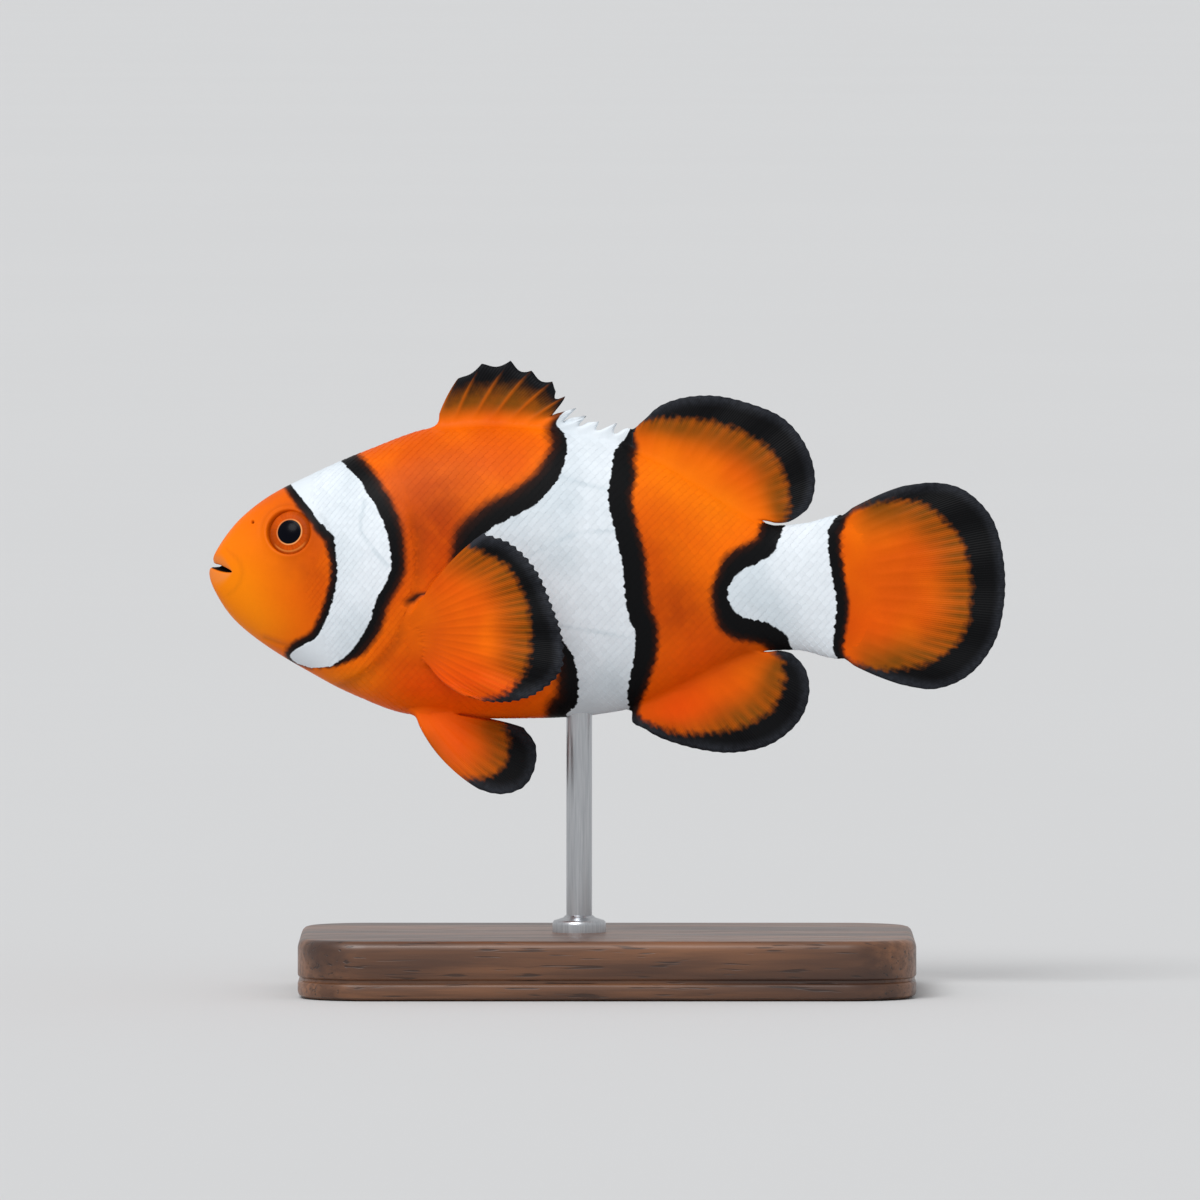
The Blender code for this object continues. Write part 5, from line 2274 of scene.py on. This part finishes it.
# ---- studio
@dataclass(frozen=True)
class Studio:
    """Floor, lights and camera.

    Attributes:
        floor_reach: Half the floor's side, in metres.
        sky: The brightness all round.
        sky_colour: Its colour.
        sun: The main light's strength.
        sun_from: Where it comes from.
        sun_breadth: How soft its shadows are, in degrees.
        aim: The point at the middle of the picture, in millimetres.
        breadth: How broad the picture is at the fish, in millimetres.
        lens: The camera's focal length.
        elevation: How far the camera stands above the fish, in degrees.
        clip: How near and how far the camera sees, in metres.
    """

    floor_reach: float = 30.0
    sky: float = 0.62
    sky_colour: tuple[float, ...] = (0.985, 0.99, 1.0, 1.0)
    sun: float = 1.9
    sun_from: tuple[float, float, float] = (0.62, -0.28, 0.72)
    sun_breadth: float = 32.0
    aim: tuple[float, float, float] = (0.0, -0.705, 39.48)
    breadth: float = 120.9
    lens: float = 600.0
    elevation: float = 2.0
    clip: tuple[float, float] = (0.05, 100.0)

    def build(self) -> Object:
        """Builds the studio.

        Returns:
            Its floor.
        """
        scene, reach = bpy.context.scene, self.floor_reach
        scene.view_settings.view_transform = "Standard"
        mesh = bpy.data.meshes.new("floor")
        mesh.from_pydata([(-reach, -reach, 0), (reach, -reach, 0), (reach, reach, 0),
                          (-reach, reach, 0)], [], [(0, 1, 2, 3)])
        mesh.materials.append(FloorFinish().build())
        scene.world = bpy.data.worlds.new("studio")
        scene.world.use_nodes = True
        sky = scene.world.node_tree.nodes["Background"].inputs
        sky["Color"].default_value = self.sky_colour
        sky["Strength"].default_value = self.sky
        lamp = bpy.data.lights.new("key", "SUN")
        lamp.energy = self.sun
        lamp.angle = math.radians(self.sun_breadth)
        add_object("key", lamp).rotation_euler = self.turned_to(Vector(self.sun_from))
        self.camera(scene)
        return add_object("floor", mesh)

    @staticmethod
    def turned_to(away: Vector) -> Euler:
        """The turn of a lamp or a camera that lies this way and looks back."""
        return away.to_track_quat("Z", "Y").to_euler()

    def camera(self, scene: bpy.types.Scene) -> None:
        """Adds the camera, on the fish's left side.

        Args:
            scene: The scene.
        """
        data = bpy.data.cameras.new("camera")
        data.lens = self.lens
        data.clip_start, data.clip_end = self.clip
        distance = self.breadth * MM * self.lens / data.sensor_width
        tilt = math.radians(self.elevation)
        away = Vector((math.cos(tilt), 0, math.sin(tilt)))
        scene.camera = add_object("camera", data)
        scene.camera.location = Vector(self.aim) * MM + away * distance
        scene.camera.rotation_euler = self.turned_to(away)


# ---- main
FLESH = ("head", "trunk", "tail_stem", "dorsal_fin_spiny", "dorsal_fin_soft", "anal_fin",
         "tail_fin", "pectoral_fin_left", "pectoral_fin_right", "pelvic_fin_left",
         "pelvic_fin_right")


def dress(piece: Object, finish: Material, slot: str, *nodes: str) -> None:
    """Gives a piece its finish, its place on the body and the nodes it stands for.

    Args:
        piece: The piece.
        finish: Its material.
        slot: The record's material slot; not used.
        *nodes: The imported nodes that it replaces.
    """
    piece.data.materials.clear()
    piece.data.materials.append(finish)
    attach(piece, "root")
    if nodes:
        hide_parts(*nodes)
    triangles = sum(len(face.vertices) - 2 for face in piece.data.polygons)
    LOG.info("%s: %d triangles", piece.name, triangles)


def main() -> None:
    """Builds the clownfish, its stand and the studio."""
    logging.basicConfig(level=logging.INFO, format="%(message)s")
    form = BodyForm()
    fish = FishFrame.from_solids(max(h for _, h in form.back_line))
    relief = HeadRelief(form)
    finish = FishFinish().build()
    body = BodySkin(form, relief)
    patches = [shell for place in (relief.eye, relief.nostril)
               for shell in both_sides(Inset(form, relief, place, body.depth).shell())]
    skin = Skin(fish, [body.shell(), *patches, *Fins(form).shells()]).build()
    dress(skin, finish, "fish_skin", *FLESH)
    scales = Scales(form, relief, Girth(form))
    eye, glass = EyeForm(form), EyeFinish().build()
    for side, word in ((1, "left"), (-1, "right")):
        for front, end in ((True, "front"), (False, "rear")):
            dress(scales.build(f"scales_{end}_{word}", side, front, fish), finish, "fish_skin")
        dress(eye.build(f"eyeball_{word}", side, fish), glass, "eye", f"eye_{word}")
    stand, steel = StandForm(), SteelFinish().build()
    dress(stand.base(), WalnutFinish().build(), "walnut", "stand_base")
    dress(stand.rod(), steel, "steel", "stand_rod")
    dress(stand.foot(), steel, "steel")
    Studio().build()


if __name__ == "__main__":
    main()
